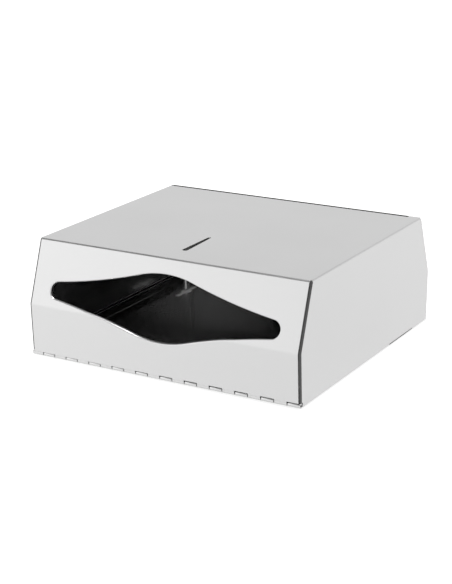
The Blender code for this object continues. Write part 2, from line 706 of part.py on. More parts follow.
def cam_fasteners(parts):
    washer_start = -(STUB_END + CLEARANCE)
    washer_end = washer_start - CAM_WASHER
    bore = SCREW_RADIUS + BORE_CLEARANCE
    washer = turned("cam_washer", ring_profile(bore, CAM_WASHER_RADIUS, washer_end,
                                               washer_start), lock_place(), 24, parts)
    under_head = washer_end - CLEARANCE
    head_end = under_head - SCREW_HEAD
    round_off = SCREW_HEAD / 4
    profile = [(0.0, head_end), (SCREW_HEAD_RADIUS - round_off, head_end),
               (SCREW_HEAD_RADIUS, head_end + round_off),
               (SCREW_HEAD_RADIUS, under_head), (SCREW_RADIUS, under_head),
               (SCREW_RADIUS, -STUB_END + SCREW_DEPTH), (0.0, -STUB_END + SCREW_DEPTH)]
    return [washer, turned("cam_screw", profile, lock_place(), 24, parts)]


def lock_fasteners(parts, cutters):
    """Doubler plate, washer and nut that hold the lock in the rear sheet."""
    place = lock_place()
    plate_start = SHEET + CLEARANCE
    washer_start = plate_start + LOCK_PLATE + CLEARANCE
    nut_start = washer_start + LOCK_WASHER + CLEARANCE
    bore = LOCK_RADIUS + CLEARANCE
    half_x = LOCK_PLATE_SIZE[0] / 2
    half_z = LOCK_PLATE_SIZE[1] / 2
    plate = box("lock_plate", (-half_x, -plate_start - LOCK_PLATE, -half_z),
                (half_x, -plate_start, half_z), parts)
    plate.data.transform(place)
    washer = turned("lock_washer", ring_profile(bore, LOCK_WASHER_RADIUS,
                    -washer_start - LOCK_WASHER, -washer_start), place, 32, parts)
    corner = LOCK_NUT_FLATS / 2 / math.cos(math.pi / 6)
    nut = rod("lock_nut", corner, -nut_start - LOCK_NUT, -nut_start, 6, place, parts)
    through = rod("cut_nut_bore", bore, -nut_start - LOCK_NUT - OVERCUT, 0.0, 32,
                  place, cutters)
    cut(plate, through)
    cut(nut, through)
    return [plate, washer, nut]


# ----------------------------------------------------------------- the strike
def strike(parts, cutters):
    """Z-shaped strike on the back plate; its hook stands over the locked cam."""
    cam_middle = LOCK_POINT - LOCK_NORMAL * (CAM_START + CAM_THICKNESS / 2)
    inner = -CAM_LENGTH - STRIKE_CAM_GAP
    outer = inner - STRIKE_SHEET
    under = cam_middle.z + CAM_HALF_WIDTH + STRIKE_CAM_GAP
    foot = FLOOR + CLEARANCE
    outline = [(outer - STRIKE_FOOT, foot), (inner, foot), (inner, under),
               (inner + STRIKE_HOOK, under), (inner + STRIKE_HOOK, under + STRIKE_SHEET),
               (outer, under + STRIKE_SHEET), (outer, foot + STRIKE_SHEET),
               (outer - STRIKE_FOOT, foot + STRIKE_SHEET)]
    start = cam_middle.y - STRIKE_WIDTH / 2
    piece = outline_solid("strike", [outline], start, start + STRIKE_WIDTH, "Y", parts)
    spots = [Vector((outer - STRIKE_FOOT / 2, cam_middle.y + side * STRIKE_WIDTH * 0.27, 0))
             for side in (-1, 1)]
    return piece, spots


def rivet(name, spot, parts, cutters):
    """Solid rivet through the strike's foot and the back plate."""
    place = Matrix.Translation(spot) @ Matrix.Rotation(math.pi / 2, 4, "X")
    seat = FLOOR + 2 * CLEARANCE + STRIKE_SHEET
    dome = [(RIVET_HEAD_RADIUS * math.cos(angle), seat + RIVET_HEAD * math.sin(angle))
            for angle in (0.0, math.pi / 6, math.pi / 3)]
    profile = [(0.0, CLEARANCE), (RIVET_RADIUS, CLEARANCE), (RIVET_RADIUS, seat)]
    profile += dome + [(0.0, seat + RIVET_HEAD)]
    piece = turned(name, profile, place, 20, parts)
    hole = rod("cut_" + name, RIVET_RADIUS + CLEARANCE, -OVERCUT, seat + OVERCUT, 20,
               place, cutters)
    return piece, hole


# ------------------------------------------------------------------- assembly
def finish_part(item, material):
    item.data.materials.clear()
    item.data.materials.append(material)


def main():
    clear_scene()
    parts = new_collection("napkin_dispenser")
    cutters = new_collection("cutters")
    satin = new_material("satin stainless", (0.62, 0.62, 0.61), 0.33, 1.0)
    plain = new_material("mill stainless", (0.55, 0.55, 0.54), 0.38, 1.0)
    bright = new_material("nickel plate", (0.70, 0.69, 0.66), 0.22, 1.0)
    zinc = new_material("zinc plate", (0.56, 0.57, 0.58), 0.45, 1.0)

    finish_part(cover_shell(parts, cutters), satin)
    finish_part(cover_leaf(parts, cutters), satin)
    finish_part(base_leaf(parts, cutters), satin)
    finish_part(hinge_pin(parts), plain)
    plate = base_plate(parts, cutters)
    finish_part(plate, plain)
    finish_part(lock_housing(parts), bright)
    finish_part(lock_plug(parts, cutters), bright)
    finish_part(lock_cam(parts), zinc)
    for item in cam_fasteners(parts) + lock_fasteners(parts, cutters):
        finish_part(item, zinc)
    hook, spots = strike(parts, cutters)
    finish_part(hook, plain)
    for name, spot in zip(("strike_rivet_front", "strike_rivet_rear"), spots):
        piece, hole = rivet(name, spot, parts, cutters)
        finish_part(piece, zinc)
        cut(hook, hole)
        cut(plate, hole)

    for cutter in cutters.all_objects:
        cutter.hide_render = True
        cutter.display_type = "WIRE"


main()
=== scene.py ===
# %% [markdown]
# # A sheet-steel napkin dispenser
# The object lies on its back plate. +X runs along the hinge, -Y is the narrow face
# with the wave-shaped mouth and +Z is up. The working parts come packed from a CAD
# model; this script gives them their looks, the light and the camera.

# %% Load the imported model
from math import acos, asin, atan, atan2, cos, hypot, pi, radians, sin, sqrt, tan

import bpy
from mathutils import Matrix, Vector
from mathutils.geometry import delaunay_2d_cdt


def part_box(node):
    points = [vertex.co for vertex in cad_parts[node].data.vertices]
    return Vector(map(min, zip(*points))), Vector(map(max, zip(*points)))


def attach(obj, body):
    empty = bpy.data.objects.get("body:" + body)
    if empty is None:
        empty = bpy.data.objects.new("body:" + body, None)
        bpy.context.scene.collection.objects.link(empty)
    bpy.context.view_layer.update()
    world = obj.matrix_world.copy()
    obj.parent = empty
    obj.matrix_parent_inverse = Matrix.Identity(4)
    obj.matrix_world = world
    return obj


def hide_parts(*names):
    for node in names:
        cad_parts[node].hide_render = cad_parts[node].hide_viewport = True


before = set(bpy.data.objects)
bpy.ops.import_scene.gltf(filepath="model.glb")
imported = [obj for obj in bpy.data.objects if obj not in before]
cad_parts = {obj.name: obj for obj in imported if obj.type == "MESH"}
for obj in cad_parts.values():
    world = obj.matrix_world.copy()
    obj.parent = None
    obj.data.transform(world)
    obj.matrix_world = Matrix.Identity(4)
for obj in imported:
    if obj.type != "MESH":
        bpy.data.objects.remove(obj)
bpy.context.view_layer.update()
MM = 0.001


def put(name, data):
    """A new object in the scene, made of a mesh, a camera or a light."""
    item = bpy.data.objects.new(name, data)
    bpy.context.scene.collection.objects.link(item)
    return item


# %% [markdown]
# ## The camera
# A long lens, 18 degrees above the table and turned 31 degrees to the right of the
# mouth. The roll is a slight tilt of the camera about its own line of sight.

# %% Camera
AZIMUTH = radians(30.587)
ELEVATION = radians(17.970)
ROLL = radians(-0.689)
DISTANCE = 1.4074
LENS = 93.28            # this and the sensor's width are in mm, the rest in m
SENSOR = 36.0
FARTHEST = 40.0
TARGET = Vector((0.00259, -0.02084, 0.050))

back = Vector((sin(AZIMUTH) * cos(ELEVATION),
               -cos(AZIMUTH) * cos(ELEVATION), sin(ELEVATION)))
camera_data = bpy.data.cameras.new("camera")
camera_data.lens = LENS
camera_data.sensor_width = SENSOR
camera_data.clip_end = FARTHEST
camera = put("camera", camera_data)
turn = back.to_track_quat("Z", "Y").to_matrix().to_4x4() @ Matrix.Rotation(ROLL, 4, "Z")
camera.matrix_world = Matrix.Translation(TARGET + back * DISTANCE) @ turn
bpy.context.scene.camera = camera
print("camera at", [round(c, 3) for c in camera.matrix_world.translation])

# %% [markdown]
# ## One helper for nodes
# Materials and Geometry Nodes are both trees of nodes. This helper adds one node,
# sets it up, and either links or fills each of its inputs. A second one, for sums,
# returns a Math node's result.

# %% Node helper
def add(tree, kind, sockets=None, **settings):
    made = tree.nodes.new(kind)
    for key, value in settings.items():
        setattr(made, key, value)
    for socket, value in (sockets or {}).items():
        if isinstance(value, bpy.types.NodeSocket):
            tree.links.new(value, made.inputs[socket])
        else:
            made.inputs[socket].default_value = value
    return made


def calc(tree, operation, *values):
    """The result of one Math node."""
    sockets = dict(enumerate(values))
    return add(tree, "ShaderNodeMath", sockets, operation=operation).outputs["Value"]


def linear(code):
    """An sRGB hex colour as the linear colour that shaders use."""
    shares = [int(code[i:i + 2], 16) / 255 for i in (0, 2, 4)]
    return [c / 12.92 if c <= 0.04045 else ((c + 0.055) / 1.055) ** 2.4
            for c in shares] + [1.0]


print("white is", linear("FFFFFF"))

# %% [markdown]
# ## Stainless steel
# Bare metal has no colour of its own to speak of: it mirrors the room through a
# fine finish. Polishing belts leave parallel scratches far finer than a tenth of a
# millimetre, so the grain is drawn coarser than life, as noise stretched along the
# polishing direction, and it moves the roughness and a very shallow bump. A
# darker steel, darker still at grazing angles, is painted shade: it goes on the pin,
# the bends at the corner seams and the rear bend of the top. The back plate's steel
# is also darkened as painted shade, for the dark inside of the closed box.

# %% Metal finishes
GRAIN_STRETCH = 60      # a scratch's length over its width
HAZE = 90 * MM          # size of the broad cloudy patches
def metal(name, colour, roughness, grain_mm, grain_axis, spread, bump):
    """A metal whose grain runs along one axis ("X", "Y", "Z" or None)."""
    material = bpy.data.materials.new(name)
    material.use_nodes = True
    tree = material.node_tree
    shader = tree.nodes["Principled BSDF"]
    place = add(tree, "ShaderNodeTexCoord")
    across = 1.0 / (grain_mm * MM)
    scale = [across, across, across]
    if grain_axis:
        scale["XYZ".index(grain_axis)] = across / GRAIN_STRETCH
    mapping = add(tree, "ShaderNodeMapping",
                  {"Vector": place.outputs["Object"], "Scale": scale})
    grain = add(tree, "ShaderNodeTexNoise",
                {"Vector": mapping.outputs["Vector"], "Scale": 1.0, "Detail": 3.0,
                 "Roughness": 0.55})
    haze = add(tree, "ShaderNodeTexNoise",
               {"Vector": place.outputs["Object"], "Scale": 1.0 / HAZE,
                "Detail": 2.0, "Roughness": 0.5})
    both = calc(tree, "ADD", grain.outputs["Fac"], haze.outputs["Fac"])
    finish = add(tree, "ShaderNodeMapRange",
                 {"Value": both, "From Min": 0.6, "From Max": 1.4,
                  "To Min": roughness - spread, "To Max": roughness + spread})
    relief = add(tree, "ShaderNodeBump",
                 {"Height": grain.outputs["Fac"], "Strength": bump, "Distance": 0.02 * MM})
    shader.inputs["Base Color"].default_value = linear(colour)
    shader.inputs["Metallic"].default_value = 1.0
    tree.links.new(finish.outputs["Result"], shader.inputs["Roughness"])
    tree.links.new(relief.outputs["Normal"], shader.inputs["Normal"])
    return material


SATIN_STEEL = metal("satin_stainless_steel", "CCCCCC", 0.34, 0.35, "X", 0.03, 0.25)
INSIDE_STEEL = metal("bright_rolled_stainless_steel", "C6C6C6", 0.16, 0.8, "Y", 0.03, 0.1)
# painted shade: the back plate's and strike's steel is darkened for the dark inside of the
# closed box
MILL_STEEL_WITH_PAINTED_SHADE = metal("mill_rolled_steel_painted_shade", "727272", 0.18, 0.8, "Y", 0.04, 0.15)
# painted shade: a darker steel for the corner-seam bends, a band at the top's rear bend and
# the pin; its specular tint darkens it further at grazing angles
SHADE_PAINTED_STEEL = metal("darker_steel_painted_shade", "545454", 0.30, 0.3, "Z", 0.05, 0.3)
BEND_TINT = (0.05, 0.05, 0.05, 1.0)
bend_shader = SHADE_PAINTED_STEEL.node_tree.nodes["Principled BSDF"]
bend_shader.inputs["Specular Tint"].default_value = BEND_TINT
CUT_STEEL = metal("sheared_steel_edge", "B4B4B3", 0.42, 0.15, None, 0.05, 0.4)
NICKEL = metal("bright_nickel_plate", "D8D5CE", 0.16, 0.4, None, 0.03, 0.1)
ZINC = metal("dull_zinc_plate", "B9BCC0", 0.40, 0.3, None, 0.08, 0.3)
print("metals", [m.name for m in bpy.data.materials if m.use_nodes])

# %% [markdown]
# ## Sizes
# The sheet's outer faces follow the CAD cover. Lengths are in metres, as everywhere
# in Blender, and written in millimetres times MM.

# %% Sizes of the cover
HALF_WIDTH, _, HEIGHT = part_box("cover_shell")[1]
HALF_DEPTH = 133.0 * MM         # half the depth at the bottom edge
KNEE_HEIGHT = 49.2 * MM
KNEE_OUT = 1.5 * MM
TOP_INSET = 19.1 * MM
SHEET = 1.0 * MM
KNEE_RADIUS = 8.0 * MM
TOP_RADIUS = 2.3 * MM
SIDE_RADIUS = 1.6 * MM
BOTTOM_EDGE = 0.5 * MM
KNUCKLES = 22
PITCH = 2 * HALF_WIDTH / KNUCKLES
PIN_Y = 2.0 * MM - HALF_DEPTH
PIN_Z = 2.0 * MM
BARREL_RADIUS = 2.0 * MM
BORE_RADIUS = 1.1 * MM
KNUCKLE_GAP = 0.8 * MM
SHOULDER_TOP = 3.6 * MM         # top of a cover knuckle's flat front
TAB_EDGE = SHOULDER_TOP + 0.05 * MM
NOTCH_EDGE = 4.6 * MM
BARREL_REAR = PIN_Y + BARREL_RADIUS + 0.5 * MM
print("pitch of the hinge", round(PITCH / MM, 2), "mm")

# %% [markdown]
# ## A sheet that is folded, not carved
# A press brake bends a flat blank along straight lines. The model does the same:
# the outline is drawn flat, in x and in the distance s along the sheet, and a
# folding line says where each s ends up. Every bend is a true arc, so the surface
# knows its exact normal, and the thickness is laid behind it afterwards.

# %% The folding line
def fold_line(corners, radii, steps):
    """Stations of a polyline with rounded corners, as (s, (y, z), heading)."""
    stations = [(0.0, Vector(corners[0]), None)]
    travelled = 0.0
    here = Vector(corners[0])
    for before, corner, after, radius in zip(corners, corners[1:], corners[2:], radii):
        come = (Vector(corner) - Vector(before)).normalized()
        go = (Vector(after) - Vector(corner)).normalized()
        angle = come.angle(go)
        sense = 1.0 if come.x * go.y - come.y * go.x > 0 else -1.0
        start = Vector(corner) - come * radius * tan(angle / 2)
        travelled += (start - here).length
        stations.append((travelled, start, come))
        side = Vector((-come.y, come.x)) * sense
        centre = start + side * radius
        for step in range(1, steps + 1):
            turned = Matrix.Rotation(sense * angle * step / steps, 2)
            stations.append((travelled + radius * angle * step / steps,
                             centre - (turned @ side) * radius, turned @ come))
        travelled += radius * angle
        here = stations[-1][1]
    last = Vector(corners[-1])
    stations.append((travelled + (last - here).length, last, (last - here).normalized()))
    stations[0] = (0.0, stations[0][1], stations[1][2])
    return stations


PROFILE = [(-HALF_DEPTH, 0.0), (-HALF_DEPTH - KNEE_OUT, KNEE_HEIGHT),
           (-HALF_DEPTH + TOP_INSET, HEIGHT), (HALF_DEPTH - TOP_INSET, HEIGHT),
           (HALF_DEPTH + KNEE_OUT, KNEE_HEIGHT), (HALF_DEPTH, 0.0)]
FOLD = fold_line(PROFILE, (KNEE_RADIUS, TOP_RADIUS, TOP_RADIUS, KNEE_RADIUS), 10)


def on_line(line, s):
    """The point at a distance along a folding line, and its outward normal."""
    for (start, first, heading), (end, last, next_heading) in zip(line, line[1:]):
        if s <= end or end == line[-1][0]:
            share = (s - start) / (end - start)
            along = heading.lerp(next_heading, share).normalized()
            return first.lerp(last, share), Vector((-along.y, along.x))


print("blank length", round(FOLD[-1][0] / MM, 1), "mm")

# %% [markdown]
# ## A skin that gets its thickness last
# The skin keeps points, outward normals and faces. An edge can be rolled round an
# arc or carried straight on, as a brake or a flanging tool would do it. Last, an
# inner copy is laid one sheet below, and the open edges are closed with a rim. Each
# face is painted when it is added, with the outside's metal or with the darker
# steel that paints shade.

# %% The skin
OUTSIDE, INSIDE, RIM, PAINTED_SHADE_SLOT = range(4)      # a skin's material slots


class Skin:
    def __init__(self):
        self.points = []
        self.normals = []
        self.faces = []
        self.paint = OUTSIDE
        self.painted = []

    def vertex(self, point, normal):
        self.points.append(Vector(point))
        self.normals.append(Vector(normal).normalized())
        return len(self.points) - 1

    def face(self, corners):
        """Add a face, turned so that it looks along its corners' normals."""
        first, second, third = (self.points[corner] for corner in corners[:3])
        facing = (second - first).cross(third - first)
        wanted = sum((self.normals[corner] for corner in corners), Vector())
        self.faces.append(list(corners) if facing.dot(wanted) > 0 else list(corners)[::-1])
        self.painted.append(self.paint)

    def strip(self, row, next_row, closed):
        count = len(row) if closed else len(row) - 1
        for i in range(count):
            j = (i + 1) % len(row)
            self.face([row[i], row[j], next_row[j], next_row[i]])

    def roll(self, row, directions, radius, angle, steps, closed=False):
        """Bend an edge down round a radius; directions lead off the sheet."""
        last = row
        for step in range(1, steps + 1):
            theta = angle * step / steps
            fresh = []
            for index, direction in zip(row, directions):
                normal = self.normals[index]
                point = (self.points[index] + direction * radius * sin(theta)
                         - normal * radius * (1 - cos(theta)))
                fresh.append(self.vertex(point, normal * cos(theta)
                                         + direction * sin(theta)))
            self.strip(last, fresh, closed)
            last = fresh
        return last

    def carry(self, row, directions, length, closed=False):
        """Carry an edge straight on."""
        fresh = [self.vertex(self.points[index] + direction * length, self.normals[index])
                 for index, direction in zip(row, directions)]
        self.strip(row, fresh, closed)
        return fresh

    def solid(self, name, thickness, outside, inside, rim, bends=None):
        """The closed sheet: outer skin, inner skin and the rim between them."""
        shift = len(self.points)
        points = self.points + [point - normal * thickness
                                for point, normal in zip(self.points, self.normals)]
        faces = self.faces + [[corner + shift for corner in reversed(face)]
                              for face in self.faces]
        slots = self.painted + [INSIDE] * len(self.faces)
        edges = dict.fromkeys((a, b) for face in self.faces
                              for a, b in zip(face, face[1:] + face[:1]))
        for a, b in edges:
            if (b, a) not in edges:
                faces.append([b, a, a + shift, b + shift])
                slots.append(RIM)
        mesh = bpy.data.meshes.new(name)
        mesh.from_pydata([tuple(point) for point in points], [], faces)
        for material in (outside, inside, rim, bends or outside):
            mesh.materials.append(material)
        mesh.polygons.foreach_set("material_index", slots)
        mesh.shade_smooth()
        normals = []
        for polygon, slot in zip(mesh.polygons, slots):
            for corner in polygon.vertices:
                if slot == RIM:
                    normals.append(polygon.normal.copy())
                else:
                    normal = self.normals[corner % shift]
                    normals.append(-normal if slot == INSIDE else normal)
        mesh.normals_split_custom_set(normals)
        print(name, len(mesh.polygons), "faces")
        return put(name, mesh)


# %% [markdown]
# ## Filling a flat outline
# A Delaunay triangulation fills the outline and honours every edge it is given: the
# outer edge, the holes, and the crease lines where the blank will be bent.

# %% Flat panels
def is_inside(point, loop):
    hits = 0
    for (x0, y0), (x1, y1) in zip(loop, loop[1:] + loop[:1]):
        if (y0 > point[1]) != (y1 > point[1]):
            if point[0] < x0 + (point[1] - y0) * (x1 - x0) / (y1 - y0):
                hits += 1
    return hits % 2 == 1


def middle_of(flat, triangle):
    return sum((flat[corner] for corner in triangle), Vector((0.0, 0.0))) / 3


def fill(outline, holes=(), creases=()):
    """Flat points, triangles, and for each point its index in the input or -1."""
    points = []
    edges = []
    for loop in [outline, *holes]:
        first = len(points)
        points += loop
        edges += [(first + i, first + (i + 1) % len(loop)) for i in range(len(loop))]
    for crease in creases:
        edges.append((len(points), len(points) + 1))
        points += crease
    flat, _, triangles, origins, _, _ = delaunay_2d_cdt(
        [Vector(point) for point in points], edges, [], 0, 1e-8)
    kept = []
    for triangle in triangles:
        middle = middle_of(flat, triangle)
        if is_inside(middle, outline) and not any(is_inside(middle, h) for h in holes):
            kept.append(triangle)
    return flat, kept, [origin[0] if origin else -1 for origin in origins]


def edge_loops(faces):
    """The open edges of a set of faces, chained into closed loops."""
    directed = {(a, b) for face in faces for a, b in zip(face, face[1:] + face[:1])}
    follow = {a: b for a, b in directed if (b, a) not in directed}
    loops = []
    while follow:
        start, here = follow.popitem()
        loop = [start]
        while here != start:
            loop.append(here)
            here = follow.pop(here)
        loops.append(loop)
    return loops


def arc(centre, radius, start, end, steps):
    return [(centre[0] + radius * cos(start + (end - start) * i / steps),
             centre[1] + radius * sin(start + (end - start) * i / steps))
            for i in range(steps + 1)]


def circle(centre, radius, steps):
    return arc(centre, radius, 0.0, 2 * pi, steps)[:-1]


print("a square fills with", len(fill([(0, 0), (1, 0), (1, 1), (0, 1)])[1]), "triangles")

# %% [markdown]
# ## The mouth
# The wave is made of six arcs that run into each other: a crest and a trough, four
# hollow flanks and two round ends. Its edge is rolled inwards, so that fingers and
# paper meet a smooth lip, and that lip catches a thin line of light.

# %% The mouth's outline
MOUTH_HALF_LENGTH = 118.0 * MM
MOUTH_HALF_HEIGHT = 30.5 * MM
MOUTH_CENTRE = 65.7 * MM
CREST_RADIUS = 94.0 * MM
FLANK_RADIUS = 530.0 * MM
END_RADIUS = 8.0 * MM
LIP_RADIUS = 1.3 * MM
LIP_DEPTH = 3.0 * MM
MOUTH_LOWEST = 30.0 * MM        # the mouth's middle is above this, the notches are below


def mouth_outline(grow):
    """The wave as (x, s), grown outward by an offset."""
    crest = Vector((0.0, MOUTH_HALF_HEIGHT - CREST_RADIUS))
    end = Vector((MOUTH_HALF_LENGTH - END_RADIUS, 0.0))
    reach_crest = CREST_RADIUS + FLANK_RADIUS
    reach_end = END_RADIUS + FLANK_RADIUS
    gap = end - crest
    along = (reach_crest ** 2 - reach_end ** 2 + gap.length_squared) / (2 * gap.length)
    across = sqrt(reach_crest ** 2 - along ** 2)
    unit = gap.normalized()
    flank = crest + unit * along + Vector((-unit.y, unit.x)) * across
    crest_angle = atan2(flank.y - crest.y, flank.x - crest.x)
    end_angle = atan2(flank.y - end.y, flank.x - end.x)
    quarter = arc(crest, CREST_RADIUS + grow, pi / 2, crest_angle, 16)
    quarter += arc(flank, FLANK_RADIUS - grow, crest_angle - pi, end_angle - pi, 12)[1:]
    quarter += arc(end, END_RADIUS + grow, end_angle, 0.0, 14)[1:]
    right = quarter + [(u, -v) for u, v in quarter[-2::-1]]
    whole = right + [(-u, v) for u, v in right[-2:0:-1]]
    return [(u, MOUTH_CENTRE + v) for u, v in whole]


MOUTH = mouth_outline(LIP_RADIUS)
print("mouth", len(MOUTH), "points")

# %% [markdown]
# ## The cover's blank
# Front, top and rear are one strip. Its lower front edge has a notch for each of
# the back plate's knuckles, the top has the sight slot that shows how much paper is
# left, and the rear has the hole for the lock. The rear bend, and a narrow band of
# the top beside it, have the darker steel as painted shade.

# %% The strip
FRONT_EDGE_X = HALF_WIDTH - SIDE_RADIUS
LENGTH = FOLD[-1][0]
TOP_START = FOLD[22][0]
TOP_END = FOLD[23][0]
STRETCH = hypot(1.0, KNEE_OUT / KNEE_HEIGHT)
LOCK_HEIGHT = 26.0 * MM
LOCK_HOLE_RADIUS = 9.7 * MM
NOTCH_EXTRA = 0.45 * MM
SHEET_LEFT = 1.2 * MM - FRONT_EDGE_X     # front and rear sheets stop short of the walls
SHEET_RIGHT = FRONT_EDGE_X - 0.3 * MM
SHADE_BAND_START = TOP_END - 3.2 * MM      # painted shade band along the rear of the top
SHADE_BAND_END = FOLD[33][0]
SHADE_BAND_RIGHT = FRONT_EDGE_X - 11.0 * MM
CORNER_GAP = 0.9 * MM
NOTCH_EDGE_LEFT = 3.8 * MM      # the notches are cut a little deeper to the right
NOTCH_WIDENS = (5, 13)


def strip_outline():
    edge = []
    for index in range(KNUCKLES):
        left = -HALF_WIDTH + index * PITCH
        if index % 2:
            share = (index - NOTCH_WIDENS[0]) / (NOTCH_WIDENS[1] - NOTCH_WIDENS[0])
            share = min(1.0, max(0.0, share))
            level = (NOTCH_EDGE_LEFT + (NOTCH_EDGE - NOTCH_EDGE_LEFT) * share) * STRETCH
            ends = (left - NOTCH_EXTRA, left + PITCH + NOTCH_EXTRA)
        else:
            level = TAB_EDGE * STRETCH
            ends = (left + NOTCH_EXTRA, left + PITCH - NOTCH_EXTRA)
        edge += [(max(min(x, SHEET_RIGHT), SHEET_LEFT), level) for x in ends]
    start = TOP_START + CORNER_GAP
    end = TOP_END - CORNER_GAP
    bottom = LENGTH - BOTTOM_EDGE * STRETCH
    edge += [(SHEET_RIGHT, start), (FRONT_EDGE_X, start), (FRONT_EDGE_X, end),
             (SHEET_RIGHT, end), (SHEET_RIGHT, bottom)]
    edge += [(SHEET_LEFT, bottom), (SHEET_LEFT, end), (-FRONT_EDGE_X, end),
             (-FRONT_EDGE_X, start), (SHEET_LEFT, start)]
    return edge


def sight_slot():
    """Tapered slot with round ends, wider toward the front."""
    rear = Vector((-2.0 * MM, -41.5 * MM))
    front = Vector((-0.9 * MM, -84.8 * MM))
    rear_radius = 1.5 * MM
    front_radius = 2.7 * MM
    run = front - rear
    lean = asin((front_radius - rear_radius) / run.length)
    heading = atan2(run.x, -run.y)
    loop = arc(rear, rear_radius, heading + lean, heading + pi - lean, 10)
    loop += arc(front, front_radius, heading + pi - lean, heading + 2 * pi + lean, 14)
    middle = (TOP_START + TOP_END) / 2
    return [(x, middle + y) for x, y in loop]


LOCK_HOLE = circle((0.0, LENGTH - LOCK_HEIGHT * STRETCH), LOCK_HOLE_RADIUS, 48)
creases = [[(-FRONT_EDGE_X, s), (FRONT_EDGE_X, s)] for s, _, _ in FOLD[1:-1]]
creases.append([(-FRONT_EDGE_X, SHADE_BAND_START), (SHADE_BAND_RIGHT, SHADE_BAND_START)])
creases.append([(SHADE_BAND_RIGHT, SHADE_BAND_START), (SHADE_BAND_RIGHT, SHADE_BAND_END)])
flat, triangles, _ = fill(strip_outline(), [MOUTH, sight_slot(), LOCK_HOLE], creases)
cover = Skin()
for x, s in flat:
    (y, z), normal = on_line(FOLD, s)
    cover.vertex((x, y, z), (0.0, *normal))
for triangle in triangles:
    middle = middle_of(flat, triangle)
    # the band at the top's rear gets the darker steel as painted shade
    in_shade_band = SHADE_BAND_START < middle.y < SHADE_BAND_END and middle.x < SHADE_BAND_RIGHT
    cover.paint = PAINTED_SHADE_SLOT if in_shade_band else OUTSIDE
    cover.face(triangle)
cover.paint = OUTSIDE
print("strip", len(triangles), "triangles")

# %% [markdown]
# ## Rolling the lip
# Each point of the hole's edge knows which way leads off the sheet: square to the
# edge, in the sheet's own plane. The edge is rolled that way by a quarter turn.

# %% The lip
def off_sheet(skin, loop, closed=True):
    """Unit directions that lead off the sheet, square to its edge."""
    directions = []
    count = len(loop)
    for i, index in enumerate(loop):
        before = skin.points[loop[i - 1 if closed or i else 0]]
        after = skin.points[loop[(i + 1) % count if closed else min(i + 1, count - 1)]]
        tangent = (after - before).normalized()
        directions.append(tangent.cross(skin.normals[index]).normalized())
    return directions


for loop in edge_loops(cover.faces):
    centre = sum((cover.points[i] for i in loop), Vector()) / len(loop)
    if centre.y > -HALF_DEPTH / 2 or len(loop) < len(MOUTH) or centre.z < MOUTH_LOWEST:
        continue
    outward = off_sheet(cover, loop)
    lip = cover.roll(loop, outward, LIP_RADIUS, pi / 2, 6, closed=True)
    inward = [-cover.normals[i] for i in loop]
    cover.carry(lip, inward, LIP_DEPTH - LIP_RADIUS, closed=True)
    print("lip rolled on", len(loop), "edges")


# %% [markdown]
# ## Side walls
# Each side wall hangs from the top on its own small bend. Its front and rear edges
# are bent inwards and tucked behind the front and rear sheets as returns, which
# stiffen the corner. The front and rear sheets stop short of the walls and are not
# welded to them, so a narrow dark seam stays open.

# %% Side walls
RETURN_DEPTH = SHEET + 0.3 * MM
WALL_DEPTH = RETURN_DEPTH + SIDE_RADIUS
WALL_TOP = HEIGHT - SIDE_RADIUS
RETURN_HEIGHTS = (20.4 * MM, 102.0 * MM)
RETURN_REACH = 10.0 * MM - SIDE_RADIUS
RELIEF = (45.0 * MM, 97.0 * MM, 1.6 * MM)   # start, end and height of the edge relief


def wall_edge(bottom):
    """A side wall's front edge from bottom to top, as ((y, z), normal)."""
    low, high = FOLD[0], FOLD[11]
    path = []
    for station, heights in ((low, (bottom, RETURN_HEIGHTS[0])),
                             (high, (RETURN_HEIGHTS[1], WALL_TOP))):
        _, point, heading = station
        normal = Vector((-heading.y, heading.x))
        base = point - normal * WALL_DEPTH
        for height in heights:
            path.append((base + heading * (height - base.y) / heading.y, normal))
    knee = []
    for _, point, heading in FOLD[1:12]:
        normal = Vector((-heading.y, heading.x))
        knee.append((point - normal * WALL_DEPTH, normal))
    return path[:2] + knee + path[2:]


SAME_PLACE = 1e-7               # m
BEND_REACH = 0.72               # how far a top bend reaches, over its radius


